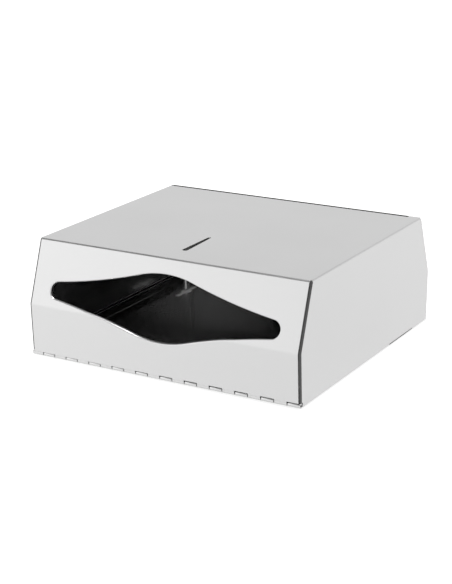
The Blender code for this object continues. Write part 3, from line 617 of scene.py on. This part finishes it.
def add_wall(skin, side):
    top_y = -HALF_DEPTH + TOP_INSET
    brow = [i for i, point in enumerate(skin.points)
            if abs(point.x - side * FRONT_EDGE_X) < SAME_PLACE
            and abs(point.z - HEIGHT) < SAME_PLACE
            and abs(point.y) < -top_y - TOP_RADIUS * BEND_REACH - CORNER_GAP / 2]
    brow.sort(key=lambda i: skin.points[i].y)
    outward = [Vector((side, 0.0, 0.0))] * len(brow)
    hem = skin.roll(brow, outward, SIDE_RADIUS, pi / 2, 6)
    front = wall_edge(NOTCH_EDGE)
    rear = [(Vector((-point.x, point.y)), Vector((-normal.x, normal.y)))
            for point, normal in wall_edge(BOTTOM_EDGE)]
    start, end, height = RELIEF
    outline = [(BARREL_REAR, NOTCH_EDGE), (BARREL_REAR, BOTTOM_EDGE), (start, BOTTOM_EDGE),
               (start, height), (end, height), (end, BOTTOM_EDGE)]
    rear_at = len(outline)
    outline += [tuple(point) for point, _ in rear[:-1]]
    hem_at = len(outline)
    outline += [(skin.points[i].y, skin.points[i].z) for i in reversed(hem)]
    front_at = len(outline)
    outline += [tuple(point) for point, _ in front[-2::-1]]
    flat, triangles, origins = fill(outline)
    corner_of = {}
    for here, ((y, z), origin) in enumerate(zip(flat, origins)):
        if hem_at <= origin < front_at:
            corner_of[here] = hem[::-1][origin - hem_at]
        else:
            corner_of[here] = skin.vertex((side * HALF_WIDTH, y, z), (side, 0.0, 0.0))
    for triangle in triangles:
        skin.face([corner_of[corner] for corner in triangle])
    at_origin = {origin: corner_of[here] for here, origin in enumerate(origins)}
    edges = (([at_origin[i] for i in range(rear_at, hem_at)] + [hem[-1]], rear),
             ([at_origin[i] for i in range(len(outline) - 1, front_at - 1, -1)] + [hem[0]],
              front))
    for row, path in edges:
        directions = [Vector((0.0, *normal)) for _, normal in path]
        # the corner bends and returns get the darker steel as painted shade in the seam
        skin.paint = PAINTED_SHADE_SLOT
        bent = skin.roll(row, directions, SIDE_RADIUS, pi / 2, 6)
        tucked = bent[1:-1]
        skin.carry(tucked, [Vector((-side, 0.0, 0.0))] * len(tucked), RETURN_REACH)
        skin.paint = OUTSIDE


for side in (-1, 1):
    add_wall(cover, side)
cover_skin = cover.solid("cover_folded_sheet", SHEET, SATIN_STEEL, INSIDE_STEEL, CUT_STEEL,
                         SHADE_PAINTED_STEEL)
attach(cover_skin, "cover")
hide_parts("cover_shell")

# %% [markdown]
# ## The back plate
# The back plate is a shallow tray. Its floor is filled round four keyholes and two
# rivet holes, and three of its edges are rolled up into flanges. The corners are
# left open, as they are on a plate that is bent and not drawn.

# %% Back plate
plate_low, plate_high = (Vector(corner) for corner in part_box("base_plate"))
FLOOR = 1.2 * MM
FLANGE_BEND = 2.0 * MM
FLANGE_START = -HALF_DEPTH + 30.0 * MM
CORNER_RELIEF = 6.0 * MM
KEYHOLE_X = 112.0 * MM
KEYHOLE_Y = 92.0 * MM
strike_low, strike_high = (Vector(corner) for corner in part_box("strike"))
STRIKE_FOOT = 15.0 * MM
RIVET_APART = 6.48 * MM
RIVET_SPOTS = [Vector((strike_low.x + STRIKE_FOOT / 2,
                       (strike_low.y + strike_high.y) / 2 + side * RIVET_APART / 2))
               for side in (-1, 1)]
RIVET_HOLE = 1.9 * MM


def keyhole(x, y):
    """A slot along Y with a round entry in its middle."""
    slot = 2.75 * MM
    entry = 5.75 * MM
    run = 19.0 * MM - slot
    meet = asin(slot / entry)
    quarter = pi / 2
    return (arc((x, y + run), slot, 0.0, pi, 12)
            + arc((x, y), entry, quarter + meet, 3 * quarter - meet, 14)
            + arc((x, y - run), slot, pi, 2 * pi, 12)
            + arc((x, y), entry, -quarter + meet, quarter - meet, 14))


flat_x = plate_high.x - FLANGE_BEND
flat_y = plate_high.y - FLANGE_BEND
relief_x = plate_high.x - CORNER_RELIEF
relief_y = plate_high.y - CORNER_RELIEF
half = [(flat_x, plate_low.y), (flat_x, FLANGE_START), (flat_x, relief_y),
        (relief_x, relief_y), (relief_x, flat_y)]
holes = [keyhole(x, y) for x in (-KEYHOLE_X, KEYHOLE_X) for y in (-KEYHOLE_Y, KEYHOLE_Y)]
holes += [circle(spot, RIVET_HOLE, 24) for spot in RIVET_SPOTS]
flat, triangles, _ = fill(half + [(-x, y) for x, y in half[::-1]], holes)
tray = Skin()
for x, y in flat:
    tray.vertex((x, y, 0.0), (0.0, 0.0, -1.0))
for triangle in triangles:
    tray.face(triangle)


def corner_at(skin, x, y):
    return min(range(len(skin.points)),
               key=lambda i: (skin.points[i] - Vector((x, y, 0.0))).length)


for ends, direction in ((((flat_x, FLANGE_START), (flat_x, relief_y)), (1, 0, 0)),
                        (((-flat_x, FLANGE_START), (-flat_x, relief_y)), (-1, 0, 0)),
                        (((-relief_x, flat_y), (relief_x, flat_y)), (0, 1, 0))):
    row = [corner_at(tray, *end) for end in ends]
    bent = tray.roll(row, [Vector(direction)] * 2, FLANGE_BEND, pi / 2, 8)
    tray.carry(bent, [Vector((0.0, 0.0, 1.0))] * 2, plate_high.z - FLANGE_BEND)
# the tray's steel is darkened as painted shade
back_plate = tray.solid("back_plate_tray", FLOOR, MILL_STEEL_WITH_PAINTED_SHADE, MILL_STEEL_WITH_PAINTED_SHADE, CUT_STEEL)
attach(back_plate, "base")
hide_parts("base_plate")

# %% [markdown]
# ## Two more ways to make a solid
# A prism draws an outline along X, as a saw cuts a section to length. A turned piece
# spins a profile round an axis, as a lathe does. Modifiers then bevel or cut them,
# and settle() bakes the modifiers into a plain mesh with crisp and smooth edges.

# %% Prisms and turned pieces
def mesh_object(name, points, faces, material):
    mesh = bpy.data.meshes.new(name)
    mesh.from_pydata([tuple(point) for point in points], [], faces)
    mesh.materials.append(material)
    return put(name, mesh)


def prism(name, outline, start, end, material):
    """An anticlockwise (y, z) outline drawn out along X."""
    count = len(outline)
    points = [(start, y, z) for y, z in outline] + [(end, y, z) for y, z in outline]
    faces = [list(range(count))[::-1], list(range(count, 2 * count))]
    faces += [[i, (i + 1) % count, (i + 1) % count + count, i + count]
              for i in range(count)]
    return mesh_object(name, points, faces, material)


def turned(name, profile, place, material, steps=48):
    """A profile of (radius, along) spun round the local Y axis."""
    loop = list(zip(profile, profile[1:] + profile[:1]))
    if sum(a[0] * b[1] - b[0] * a[1] for a, b in loop) < 0:
        profile = profile[::-1]
    points = []
    rings = []
    for radius, along in profile:
        if radius == 0.0:
            rings.append([len(points)] * steps)
            points.append(place @ Vector((0.0, along, 0.0)))
        else:
            rings.append(list(range(len(points), len(points) + steps)))
            points += [place @ Vector((radius * cos(2 * pi * i / steps), along,
                                       -radius * sin(2 * pi * i / steps)))
                       for i in range(steps)]
    faces = []
    for ring, following in zip(rings, rings[1:] + rings[:1]):
        for i in range(steps):
            j = (i + 1) % steps
            face = list(dict.fromkeys((ring[i], ring[j], following[j], following[i])))
            if len(face) > 2:
                faces.append(face)
    return mesh_object(name, points, faces, material)


def cut_away(item, cutter, operation="DIFFERENCE"):
    modifier = item.modifiers.new("Cut", "BOOLEAN")
    modifier.operation = operation
    modifier.solver = "EXACT"
    modifier.object = cutter


def soften(item, width, segments=2):
    modifier = item.modifiers.new("Broken edges", "BEVEL")
    modifier.width = width
    modifier.segments = segments
    modifier.limit_method = "ANGLE"
    modifier.angle_limit = radians(50)


def settle(item, *helpers):
    """Bake the modifiers into the mesh and mark its crisp edges."""
    depsgraph = bpy.context.evaluated_depsgraph_get()
    mesh = bpy.data.meshes.new_from_object(item.evaluated_get(depsgraph))
    item.modifiers.clear()
    item.data = mesh
    mesh.shade_smooth()
    mesh.set_sharp_from_angle(angle=radians(32))
    for helper in helpers:
        bpy.data.objects.remove(helper, do_unlink=True)
    print(item.name, len(mesh.polygons), "faces")
    return item


# %% [markdown]
# ## Geometry Nodes for what repeats
# The hinge has eleven equal knuckles on each leaf, and the welds and rivets repeat
# too. One tree sets copies of a piece on a list of spots, joins them to the piece
# that carries them, makes the copies real and gives them their metal.

# %% The tree that sets copies on spots
def copies_tree():
    tree = bpy.data.node_groups.new("copies on spots", "GeometryNodeTree")
    for label, kind in (("Spots", "NodeSocketObject"), ("Piece", "NodeSocketObject"),
                        ("Carrier", "NodeSocketObject"), ("Metal", "NodeSocketMaterial")):
        tree.interface.new_socket(label, in_out="INPUT", socket_type=kind)
    tree.interface.new_socket("Geometry", in_out="OUTPUT", socket_type="NodeSocketGeometry")
    given = add(tree, "NodeGroupInput")
    spots, piece, carrier = (
        add(tree, "GeometryNodeObjectInfo", {"Object": given.outputs[label]})
        .outputs["Geometry"] for label in ("Spots", "Piece", "Carrier"))
    copies = add(tree, "GeometryNodeInstanceOnPoints", {"Points": spots, "Instance": piece})
    real = add(tree, "GeometryNodeRealizeInstances",
               {"Geometry": copies.outputs["Instances"]})
    joined = add(tree, "GeometryNodeMeshBoolean",
                 {"Mesh 2": real.outputs["Geometry"]}, operation="UNION", solver="EXACT")
    tree.links.new(carrier, joined.inputs["Mesh 2"])
    painted = add(tree, "GeometryNodeSetMaterial",
                  {"Geometry": joined.outputs["Mesh"], "Material": given.outputs["Metal"]})
    add(tree, "NodeGroupOutput", {"Geometry": painted.outputs["Geometry"]})
    return tree


COPIES = copies_tree()


def repeat(name, spots, piece, carrier, material):
    """Run the tree and keep its result as a plain mesh."""
    marks = mesh_object(name + "_spots", spots, [], material)
    host = mesh_object(name, [], [], material)
    modifier = host.modifiers.new("Copies", "NODES")
    modifier.node_group = COPIES
    values = {"Spots": marks, "Piece": piece, "Carrier": carrier, "Metal": material}
    for item in COPIES.interface.items_tree:
        if item.in_out == "INPUT" and values[item.name]:
            modifier[item.identifier] = values[item.name]
    helpers = [helper for helper in (marks, piece, carrier) if helper]
    return settle(host, *helpers)


print("inputs", [i.name for i in COPIES.interface.items_tree if i.in_out == "INPUT"])

# %% [markdown]
# ## The hinge
# A piano hinge: strips of sheet whose tabs are curled round one long pin. The
# cover's knuckles have a flat shoulder in front, level with the cover's face, so at
# rest only short gaps show between the knuckles.

# %% The hinge
PIN_CENTRE = (PIN_Y, PIN_Z)
LEAF = 0.9 * MM
LEAF_HALF = HALF_WIDTH - SHEET - 2.1 * MM
LEAF_TOP = 20.0 * MM
KNUCKLE_HALF = (PITCH - KNUCKLE_GAP) / 2


def front_y(height, depth):
    """Y of a layer under the lower front sheet."""
    return -HALF_DEPTH - KNEE_OUT / KNEE_HEIGHT * height + depth * STRETCH


def knuckled_leaf(name, knuckle, strip, first):
    """A strip of the leaf with every other knuckle on it, from the first on."""
    piece = prism(name + "_knuckle", knuckle, -KNUCKLE_HALF, KNUCKLE_HALF, SATIN_STEEL)
    soften(piece, 0.1 * MM)
    carrier = prism(name + "_strip", strip, -LEAF_HALF, LEAF_HALF, SATIN_STEEL)
    spots = [(-HALF_WIDTH + (index + 0.5) * PITCH, 0.0, 0.0)
             for index in range(first, KNUCKLES, 2)]
    return repeat(name, spots, piece, carrier, SATIN_STEEL)


neck_top = NOTCH_EDGE - 0.02 * MM
curl_end = 2 * pi + radians(68)
knuckle_outline = [(front_y(neck_top, RETURN_DEPTH), neck_top),
                   (front_y(SHOULDER_TOP, RETURN_DEPTH), SHOULDER_TOP),
                   (PIN_Y - BARREL_RADIUS + 0.1 * MM, SHOULDER_TOP),
                   (PIN_Y - BARREL_RADIUS, SHOULDER_TOP - 0.1 * MM)]
knuckle_outline += arc(PIN_CENTRE, BARREL_RADIUS, pi, curl_end, 36)
knuckle_outline += arc(PIN_CENTRE, BORE_RADIUS, curl_end, radians(88), 30)
knuckle_outline.append((front_y(neck_top, RETURN_DEPTH + LEAF), neck_top))
strip_bottom = NOTCH_EDGE - 0.1 * MM
strip = [(front_y(z, RETURN_DEPTH + depth), z) for z, depth in (
    (LEAF_TOP, 0.0), (strip_bottom, 0.0), (strip_bottom, LEAF), (LEAF_TOP, LEAF))]
cover_leaf = knuckled_leaf("hinge_leaf_on_cover", knuckle_outline, strip, 0)
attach(cover_leaf, "cover")
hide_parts("hinge_leaf_cover")

low = 1.5 * MM - PIN_Z          # underside and top of the flat leaf, from the axis
high = low + LEAF
root_high = asin(high / BARREL_RADIUS)
root_low = asin(low / BORE_RADIUS)
curl_end = 2 * pi + root_low - radians(13)
root_y = BARREL_REAR - 0.05 * MM
knuckle_outline = [(root_y, PIN_Z + high)]
knuckle_outline += arc(PIN_CENTRE, BARREL_RADIUS, root_high, curl_end, 40)
knuckle_outline += arc(PIN_CENTRE, BORE_RADIUS, curl_end, root_low, 34)
knuckle_outline.append((root_y, PIN_Z + low))
leaf_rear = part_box("hinge_leaf_base")[1][1]
strip = [(BARREL_REAR - 0.2 * MM, PIN_Z + low), (leaf_rear, PIN_Z + low),
         (leaf_rear, PIN_Z + high), (BARREL_REAR - 0.2 * MM, PIN_Z + high)]
base_leaf = knuckled_leaf("hinge_leaf_on_plate", knuckle_outline, strip, 1)
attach(base_leaf, "base")
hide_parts("hinge_leaf_base")

# %% [markdown]
# ## The lock
# A quarter-turn cam lock sits in the rear sheet: a nickel-plated body with a thread,
# a plug with a key slot that turns in it, and a zinc-plated cam. A doubler, a washer
# and a chamfered nut clamp the body. All of it is lathe work, so profiles are spun.

# %% Lock sizes
LOCK_LEAN = atan(KNEE_OUT / KNEE_HEIGHT)
LOCK_POINT = Vector((0.0, HALF_DEPTH + KNEE_OUT / KNEE_HEIGHT * LOCK_HEIGHT, LOCK_HEIGHT))
LOCK_PLACE = Matrix.Translation(LOCK_POINT) @ Matrix.Rotation(-LOCK_LEAN, 4, "X")
GAP = 0.3 * MM
BODY_RADIUS = 9.5 * MM
BODY_LENGTH = 16.6 * MM
HEAD_FACE = 0.8 * MM
PLUG_RADIUS = 6.0 * MM
CAM_START = BODY_LENGTH + 4.5 * GAP
CAM_THICKNESS = 2.0 * MM
STUB_END = CAM_START + CAM_THICKNESS + GAP
THREAD_PITCH = 1.0 * MM
THREAD_DEPTH = 0.45 * MM
HEAD_RADIUS = 11.0 * MM
DOUBLER_SHEET = 1.2 * MM
NUT_HALF = 12.0 * MM            # half the nut's width across its flats
HOLE_RADIUS = 2.5 * MM          # in the plug and the cam's washer, for the screw
SCREW_RADIUS = 2.2 * MM
SCREW_HEAD = 4.2 * MM
CAM_REACH = 18.0 * MM

# %% Lock body and plug
bore = PLUG_RADIUS + GAP
profile = [(bore, HEAD_FACE - 0.3 * MM), (bore + 0.3 * MM, HEAD_FACE),
           (HEAD_RADIUS - 0.4 * MM, HEAD_FACE), (HEAD_RADIUS, HEAD_FACE - 0.4 * MM),
           (HEAD_RADIUS, GAP), (BODY_RADIUS, GAP), (BODY_RADIUS, -1.6 * MM)]
crest = -1.6 * MM
while crest > -BODY_LENGTH + 2 * THREAD_PITCH:
    profile += [(BODY_RADIUS - THREAD_DEPTH, crest - THREAD_PITCH / 2),
                (BODY_RADIUS, crest - THREAD_PITCH)]
    crest -= THREAD_PITCH
profile += [(BODY_RADIUS, -BODY_LENGTH + 0.5 * MM),
            (BODY_RADIUS - 0.5 * MM, -BODY_LENGTH), (bore, -BODY_LENGTH)]
housing = settle(turned("lock_body", profile, LOCK_PLACE, NICKEL, 64))

face = HEAD_FACE - 0.1 * MM
shoulder = -(CAM_START - GAP)
plug = turned("lock_key_plug", [(0.0, face), (PLUG_RADIUS - 0.25 * MM, face),
                                (PLUG_RADIUS, face - 0.25 * MM), (PLUG_RADIUS, shoulder),
                                (0.0, shoulder)], LOCK_PLACE, NICKEL)


def rod(name, radius, start, end, material, steps):
    """A cylinder on the lock's axis."""
    return turned(name, [(0.0, start), (radius, start), (radius, end), (0.0, end)],
                  LOCK_PLACE, material, steps)


def flat_washer(name, inner, outer, far, broken, steps):
    """A washer 1 mm thick on the lock's axis, its outer edges broken."""
    near = far + MM
    return settle(turned(name, [(inner, far), (outer - broken, far), (outer, far + broken),
                                (outer, near - broken), (outer - broken, near),
                                (inner, near)], LOCK_PLACE, ZINC, steps))


def block(name, low, high, material):
    """A box between two corners, set in the lock's own directions."""
    corners = [LOCK_PLACE @ Vector((x, y, z)) for x in (low[0], high[0])
               for y in (low[1], high[1]) for z in (low[2], high[2])]
    faces = [(0, 1, 3, 2), (4, 6, 7, 5), (0, 4, 5, 1), (2, 3, 7, 6), (0, 2, 6, 4),
             (1, 5, 7, 3)]
    return mesh_object(name, corners, faces, material)


STUB = 3.2 * MM
stub = block("stub", (-STUB, -STUB_END, -STUB), (STUB, shoulder + MM, STUB), NICKEL)
key_slot = block("key_slot", (-0.8 * MM, -9.5 * MM, -4.0 * MM),
                 (0.8 * MM, 5.0 * MM, 4.0 * MM), NICKEL)
key_ward = block("key_ward", (-1.5 * MM, -9.0 * MM, -1.2 * MM),
                 (0.0, 5.0 * MM, 0.2 * MM), NICKEL)
screw_hole = rod("screw_hole", HOLE_RADIUS, -STUB_END - MM, -STUB_END + 9.3 * MM,
                 NICKEL, 24)
cut_away(plug, stub, "UNION")
for cutter in (key_slot, key_ward, screw_hole):
    cut_away(plug, cutter)
settle(plug, stub, key_slot, key_ward, screw_hole)

# %% Doubler, washer and nut
plate_start = SHEET + GAP
washer_start = plate_start + DOUBLER_SHEET + GAP
nut_start = washer_start + MM + GAP
nut_end = nut_start + 3.2 * MM
hole_radius = BODY_RADIUS + GAP
doubler = block("lock_doubler", (-20.0 * MM, -plate_start - DOUBLER_SHEET, -13.0 * MM),
                (20.0 * MM, -plate_start, 13.0 * MM), ZINC)
soften(doubler, 0.25 * MM, 3)
bore_cutter = rod("bore", hole_radius, -30.0 * MM, 0.0, ZINC, 64)
cut_away(doubler, bore_cutter)
settle(doubler)
washer = flat_washer("lock_clamp_washer", hole_radius, 12.0 * MM, -washer_start - MM,
                     0.2 * MM, 64)
CORNERS = NUT_HALF / cos(pi / 6)
nut = rod("lock_hex_nut", CORNERS, -nut_end, -nut_start, ZINC, 6)
beyond = CORNERS + 0.1 * MM
chamfer = turned("nut_chamfer", [
    (0.0, -nut_end), (NUT_HALF, -nut_end), (beyond, -nut_end + MM),
    (beyond, -nut_start - MM), (NUT_HALF, -nut_start), (0.0, -nut_start)],
    LOCK_PLACE, ZINC, 72)
cut_away(nut, chamfer, "INTERSECT")
cut_away(nut, bore_cutter)
settle(nut, chamfer, bore_cutter)

# %% Cam, washer and screw
HUB = 7.0 * MM
CAM_HALF = 5.0 * MM
meet = acos(CAM_HALF / HUB)
cam_outline = arc((0.0, 0.0), HUB, -meet, pi + meet, 40)
cam_outline += arc((0.0, CAM_HALF - CAM_REACH), CAM_HALF, pi, 2 * pi, 24)
square = STUB + GAP
cam_sheet = Skin()
flat, triangles, _ = fill(cam_outline, [[(-square, -square), (square, -square),
                                         (square, square), (-square, square)]])
for x, z in flat:
    cam_sheet.vertex(LOCK_PLACE @ Vector((x, -CAM_START, z)),
                     LOCK_PLACE.to_3x3() @ Vector((0.0, 1.0, 0.0)))
for triangle in triangles:
    cam_sheet.face(triangle)
cam = cam_sheet.solid("lock_cam_arm", CAM_THICKNESS, ZINC, ZINC, ZINC)

washer_near = -(STUB_END + GAP)
under_head = washer_near - MM - GAP
cam_washer = flat_washer("cam_flat_washer", HOLE_RADIUS, PLUG_RADIUS, washer_near - MM,
                         0.15 * MM, 48)
crown = under_head - 2.4 * MM
dome = [(SCREW_HEAD * cos(a), under_head - 0.9 * MM - 1.5 * MM * sin(a))
        for a in (0.0, 0.35, 0.7, 1.05, 1.3)]
screw = turned("cam_pan_head_screw",
               [(0.0, -STUB_END + 9.0 * MM), (1.8 * MM, -STUB_END + 9.0 * MM),
                (SCREW_RADIUS, -STUB_END + 8.6 * MM), (SCREW_RADIUS, under_head),
                (SCREW_HEAD, under_head)] + dome + [(0.0, crown)], LOCK_PLACE, ZINC)
drives = [block("drive", (-x, crown - MM, -z), (x, crown + 1.2 * MM, z), ZINC)
          for x, z in ((3.0 * MM, 0.5 * MM), (0.5 * MM, 3.0 * MM))]
for drive in drives:
    cut_away(screw, drive)
settle(screw, *drives)

for piece, body, node, slot in (
        (housing, "cover", "lock_housing", "nickel_plate"),
        (doubler, "cover", "lock_plate", "zinc_plate"),
        (washer, "cover", "lock_washer", "zinc_plate"),
        (nut, "cover", "lock_nut", "zinc_plate"),
        (plug, "lock_core", "lock_plug", "nickel_plate"),
        (cam, "lock_core", "lock_cam", "zinc_plate"),
        (cam_washer, "lock_core", "cam_washer", "zinc_plate"),
        (screw, "lock_core", "cam_screw", "zinc_plate")):
    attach(piece, body)
    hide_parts(node)
print("lock pieces done")

# %% [markdown]
# ## The strike
# A Z-shaped bracket that the cam hooks under. It is bent from thicker sheet on a
# folding line of its own, with its rivet holes punched in the flat blank.

# %% Strike and rivets
STRIKE_SHEET = 1.5 * MM
upright = strike_low.x + STRIKE_FOOT
foot_top = strike_low.z + STRIKE_SHEET
bends = fold_line([(strike_low.x, foot_top), (upright, foot_top),
                   (upright, strike_high.z), (strike_high.x, strike_high.z)],
                  (1.0 * MM, 2.5 * MM), 8)
middle_y = (strike_low.y + strike_high.y) / 2
half_wide = (strike_high.y - strike_low.y) / 2
outline = [(0.0, -half_wide), (bends[-1][0], -half_wide), (bends[-1][0], half_wide),
           (0.0, half_wide)]
holes = [circle((spot.x - strike_low.x, spot.y - middle_y), RIVET_HOLE, 24)
         for spot in RIVET_SPOTS]
creases = [[(s, -half_wide), (s, half_wide)] for s, _, _ in bends[1:-1]]
flat, triangles, _ = fill(outline, holes, creases)
bracket = Skin()
for s, y in flat:
    (x, z), normal = on_line(bends, s)
    bracket.vertex((x, middle_y + y, z), (normal.x, 0.0, normal.y))
for triangle in triangles:
    bracket.face(triangle)
# the strike's steel is darkened as painted shade
strike = bracket.solid("strike_bracket", STRIKE_SHEET, MILL_STEEL_WITH_PAINTED_SHADE, MILL_STEEL_WITH_PAINTED_SHADE, CUT_STEEL)
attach(strike, "base")
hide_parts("strike")

RIVET_RADIUS = 1.6 * MM
RIVET_HEAD = 2.6 * MM
RIVET_DOME = 1.4 * MM
seat = FLOOR + 2 * GAP + STRIKE_SHEET
profile = [(0.0, GAP), (RIVET_RADIUS, GAP), (RIVET_RADIUS, seat)]
profile += [(RIVET_HEAD * cos(a), seat + RIVET_DOME * sin(a))
            for a in (0.0, 0.3, 0.6, 0.9, 1.2)]
profile.append((0.0, seat + RIVET_DOME))
rivet = turned("rivet", profile, Matrix.Rotation(pi / 2, 4, "X"), ZINC, 28)
spots = [(spot.x, spot.y, 0.0) for spot in RIVET_SPOTS]
rivets = repeat("strike_rivets", spots, rivet, None, ZINC)
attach(rivets, "base")
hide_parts("strike_rivet_front", "strike_rivet_rear")

# %% [markdown]
# ## Weld marks and the hinge pin
# The hinge leaf is spot-welded behind the front sheet, and each weld leaves a faint
# ring in the steel. The rings are shallow turned discs, set by the same tree. The
# pin keeps its CAD shape and gets the darker steel, as painted shade.

# %% Weld marks and pin
WELD_X = (-124.0, -72.0, -26.0, 1.5, 36.0, 84.0, 127.0)
WELD_HEIGHT = 8.0 * MM
facing = Matrix.Rotation(pi + atan(KNEE_OUT / KNEE_HEIGHT), 4, "X")
mark = turned("weld_mark", [(0.0, -0.2 * MM), (2.1 * MM, -0.2 * MM), (2.0 * MM, 0.01 * MM),
                            (1.5 * MM, 0.05 * MM), (1.0 * MM, 0.01 * MM),
                            (0.0, 0.01 * MM)], facing, SATIN_STEEL, 28)
spots = [(x * MM, front_y(WELD_HEIGHT, 0.0), WELD_HEIGHT) for x in WELD_X]
welds = repeat("hinge_weld_marks", spots, mark, None, SATIN_STEEL)
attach(welds, "cover")
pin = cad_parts["hinge_pin"]
# the pin gets the darker steel as painted shade
for slot in pin.material_slots:
    slot.material = SHADE_PAINTED_STEEL
print("pin", pin.name)

# %% [markdown]
# ## The studio
# White paper under the object, a bright room all round at eye level and a dark
# ceiling. Flat faces mirror the bright walls, and the front bend catches the
# ceiling, which draws it as a dark line. The paper glows with painted light, so
# almost no shadow shows. That painted light is stronger to the left, and a painted
# shadow dims it under the back plate, where the keyholes would otherwise shine.

# %% Floor
PAPER_GLOW = (0.86, 0.76)       # painted light in the paper's glow, left and right
GLOW_ACROSS = (-0.2, 0.1)       # where along X it starts and ends changing
UNDER_GLOW = 0.13               # share of that light left under the back plate, a painted shadow
COVERED = (0.88, 0.95)          # where that share ends, as shares of the half sizes
PAPER = 0.3                     # grey: its own light is what makes it read as white
PAPER_ROUGHNESS = 0.9
PAPER_Z = -0.5 * MM
SPAN = 12.0
paper = bpy.data.materials.new("white_backdrop_paper")
paper.use_nodes = True
tree = paper.node_tree
shader = tree.nodes["Principled BSDF"]
shader.inputs["Base Color"].default_value = (PAPER, PAPER, PAPER, 1.0)
shader.inputs["Roughness"].default_value = PAPER_ROUGHNESS
shader.inputs["Emission Color"].default_value = (1.0, 1.0, 1.0, 1.0)
place = add(tree, "ShaderNodeTexCoord")
across = add(tree, "ShaderNodeSeparateXYZ", {"Vector": place.outputs["Object"]})
glow = add(tree, "ShaderNodeMapRange",
           {"Value": across.outputs["X"], "From Min": GLOW_ACROSS[0],
            "From Max": GLOW_ACROSS[1], "To Min": PAPER_GLOW[0], "To Max": PAPER_GLOW[1]})
reach = [calc(tree, "DIVIDE", calc(tree, "ABSOLUTE", across.outputs[axis]), half)
         for axis, half in (("X", HALF_WIDTH), ("Y", HALF_DEPTH))]
uncovered = add(tree, "ShaderNodeMapRange",
                {"Value": calc(tree, "MAXIMUM", *reach), "From Min": COVERED[0],
                 "From Max": COVERED[1], "To Min": UNDER_GLOW, "To Max": 1.0})
# the paper's glow is painted light, with a painted shadow under the back plate
shine = calc(tree, "MULTIPLY", glow.outputs["Result"], uncovered.outputs["Result"])
tree.links.new(shine, shader.inputs["Emission Strength"])
floor = mesh_object("floor", [(-SPAN, -SPAN, PAPER_Z), (SPAN, -SPAN, PAPER_Z),
                              (SPAN, SPAN, PAPER_Z), (-SPAN, SPAN, PAPER_Z)],
                    [(0, 1, 2, 3)], paper)

# %% [markdown]
# ## The room and the light above
# The room's brightness depends only on direction: even at eye level, brighter
# towards a window at the front left, and fading to a dark ceiling.

# %% Room
ROOM_LEVEL = 1.0
WINDOW_LEVEL = 0.75
WINDOW_TOWARD = Vector((-0.83, -0.50, 0.25)).normalized()
WINDOW_TIGHTNESS = 6.0
CEILING_FROM = 0.5              # height of the direction where the ceiling starts
CEILING_FULL = 0.75
CEILING_LEVEL = 0.06
SUN_POWER = 2.3
SUN_ANGLE = radians(3)
world = bpy.data.worlds.new("studio")
world.use_nodes = True
room = world.node_tree
sky = room.nodes["Background"]
sky.inputs["Color"].default_value = (1.0, 1.0, 1.0, 1.0)
direction = add(room, "ShaderNodeTexCoord").outputs["Generated"]
parts = add(room, "ShaderNodeSeparateXYZ", {"Vector": direction})
toward = add(room, "ShaderNodeVectorMath", {0: direction, 1: WINDOW_TOWARD},
             operation="DOT_PRODUCT")
ahead = calc(room, "MAXIMUM", toward.outputs["Value"], 0.0)
window = calc(room, "POWER", ahead, WINDOW_TIGHTNESS)
level = calc(room, "MULTIPLY_ADD", window, WINDOW_LEVEL, ROOM_LEVEL)
ceiling = add(room, "ShaderNodeMapRange",
              {"Value": parts.outputs["Z"], "From Min": CEILING_FROM,
               "From Max": CEILING_FULL, "To Min": 1.0, "To Max": CEILING_LEVEL},
              interpolation_type="SMOOTHSTEP")
strength = calc(room, "MULTIPLY", level, ceiling.outputs["Result"])
room.links.new(strength, sky.inputs["Strength"])
bpy.context.scene.world = world
bpy.context.scene.view_settings.view_transform = "Standard"

sun_data = bpy.data.lights.new("overhead spot", "SUN")
sun_data.energy = SUN_POWER
sun_data.angle = SUN_ANGLE
put("overhead spot", sun_data)
print("room and overhead light set")
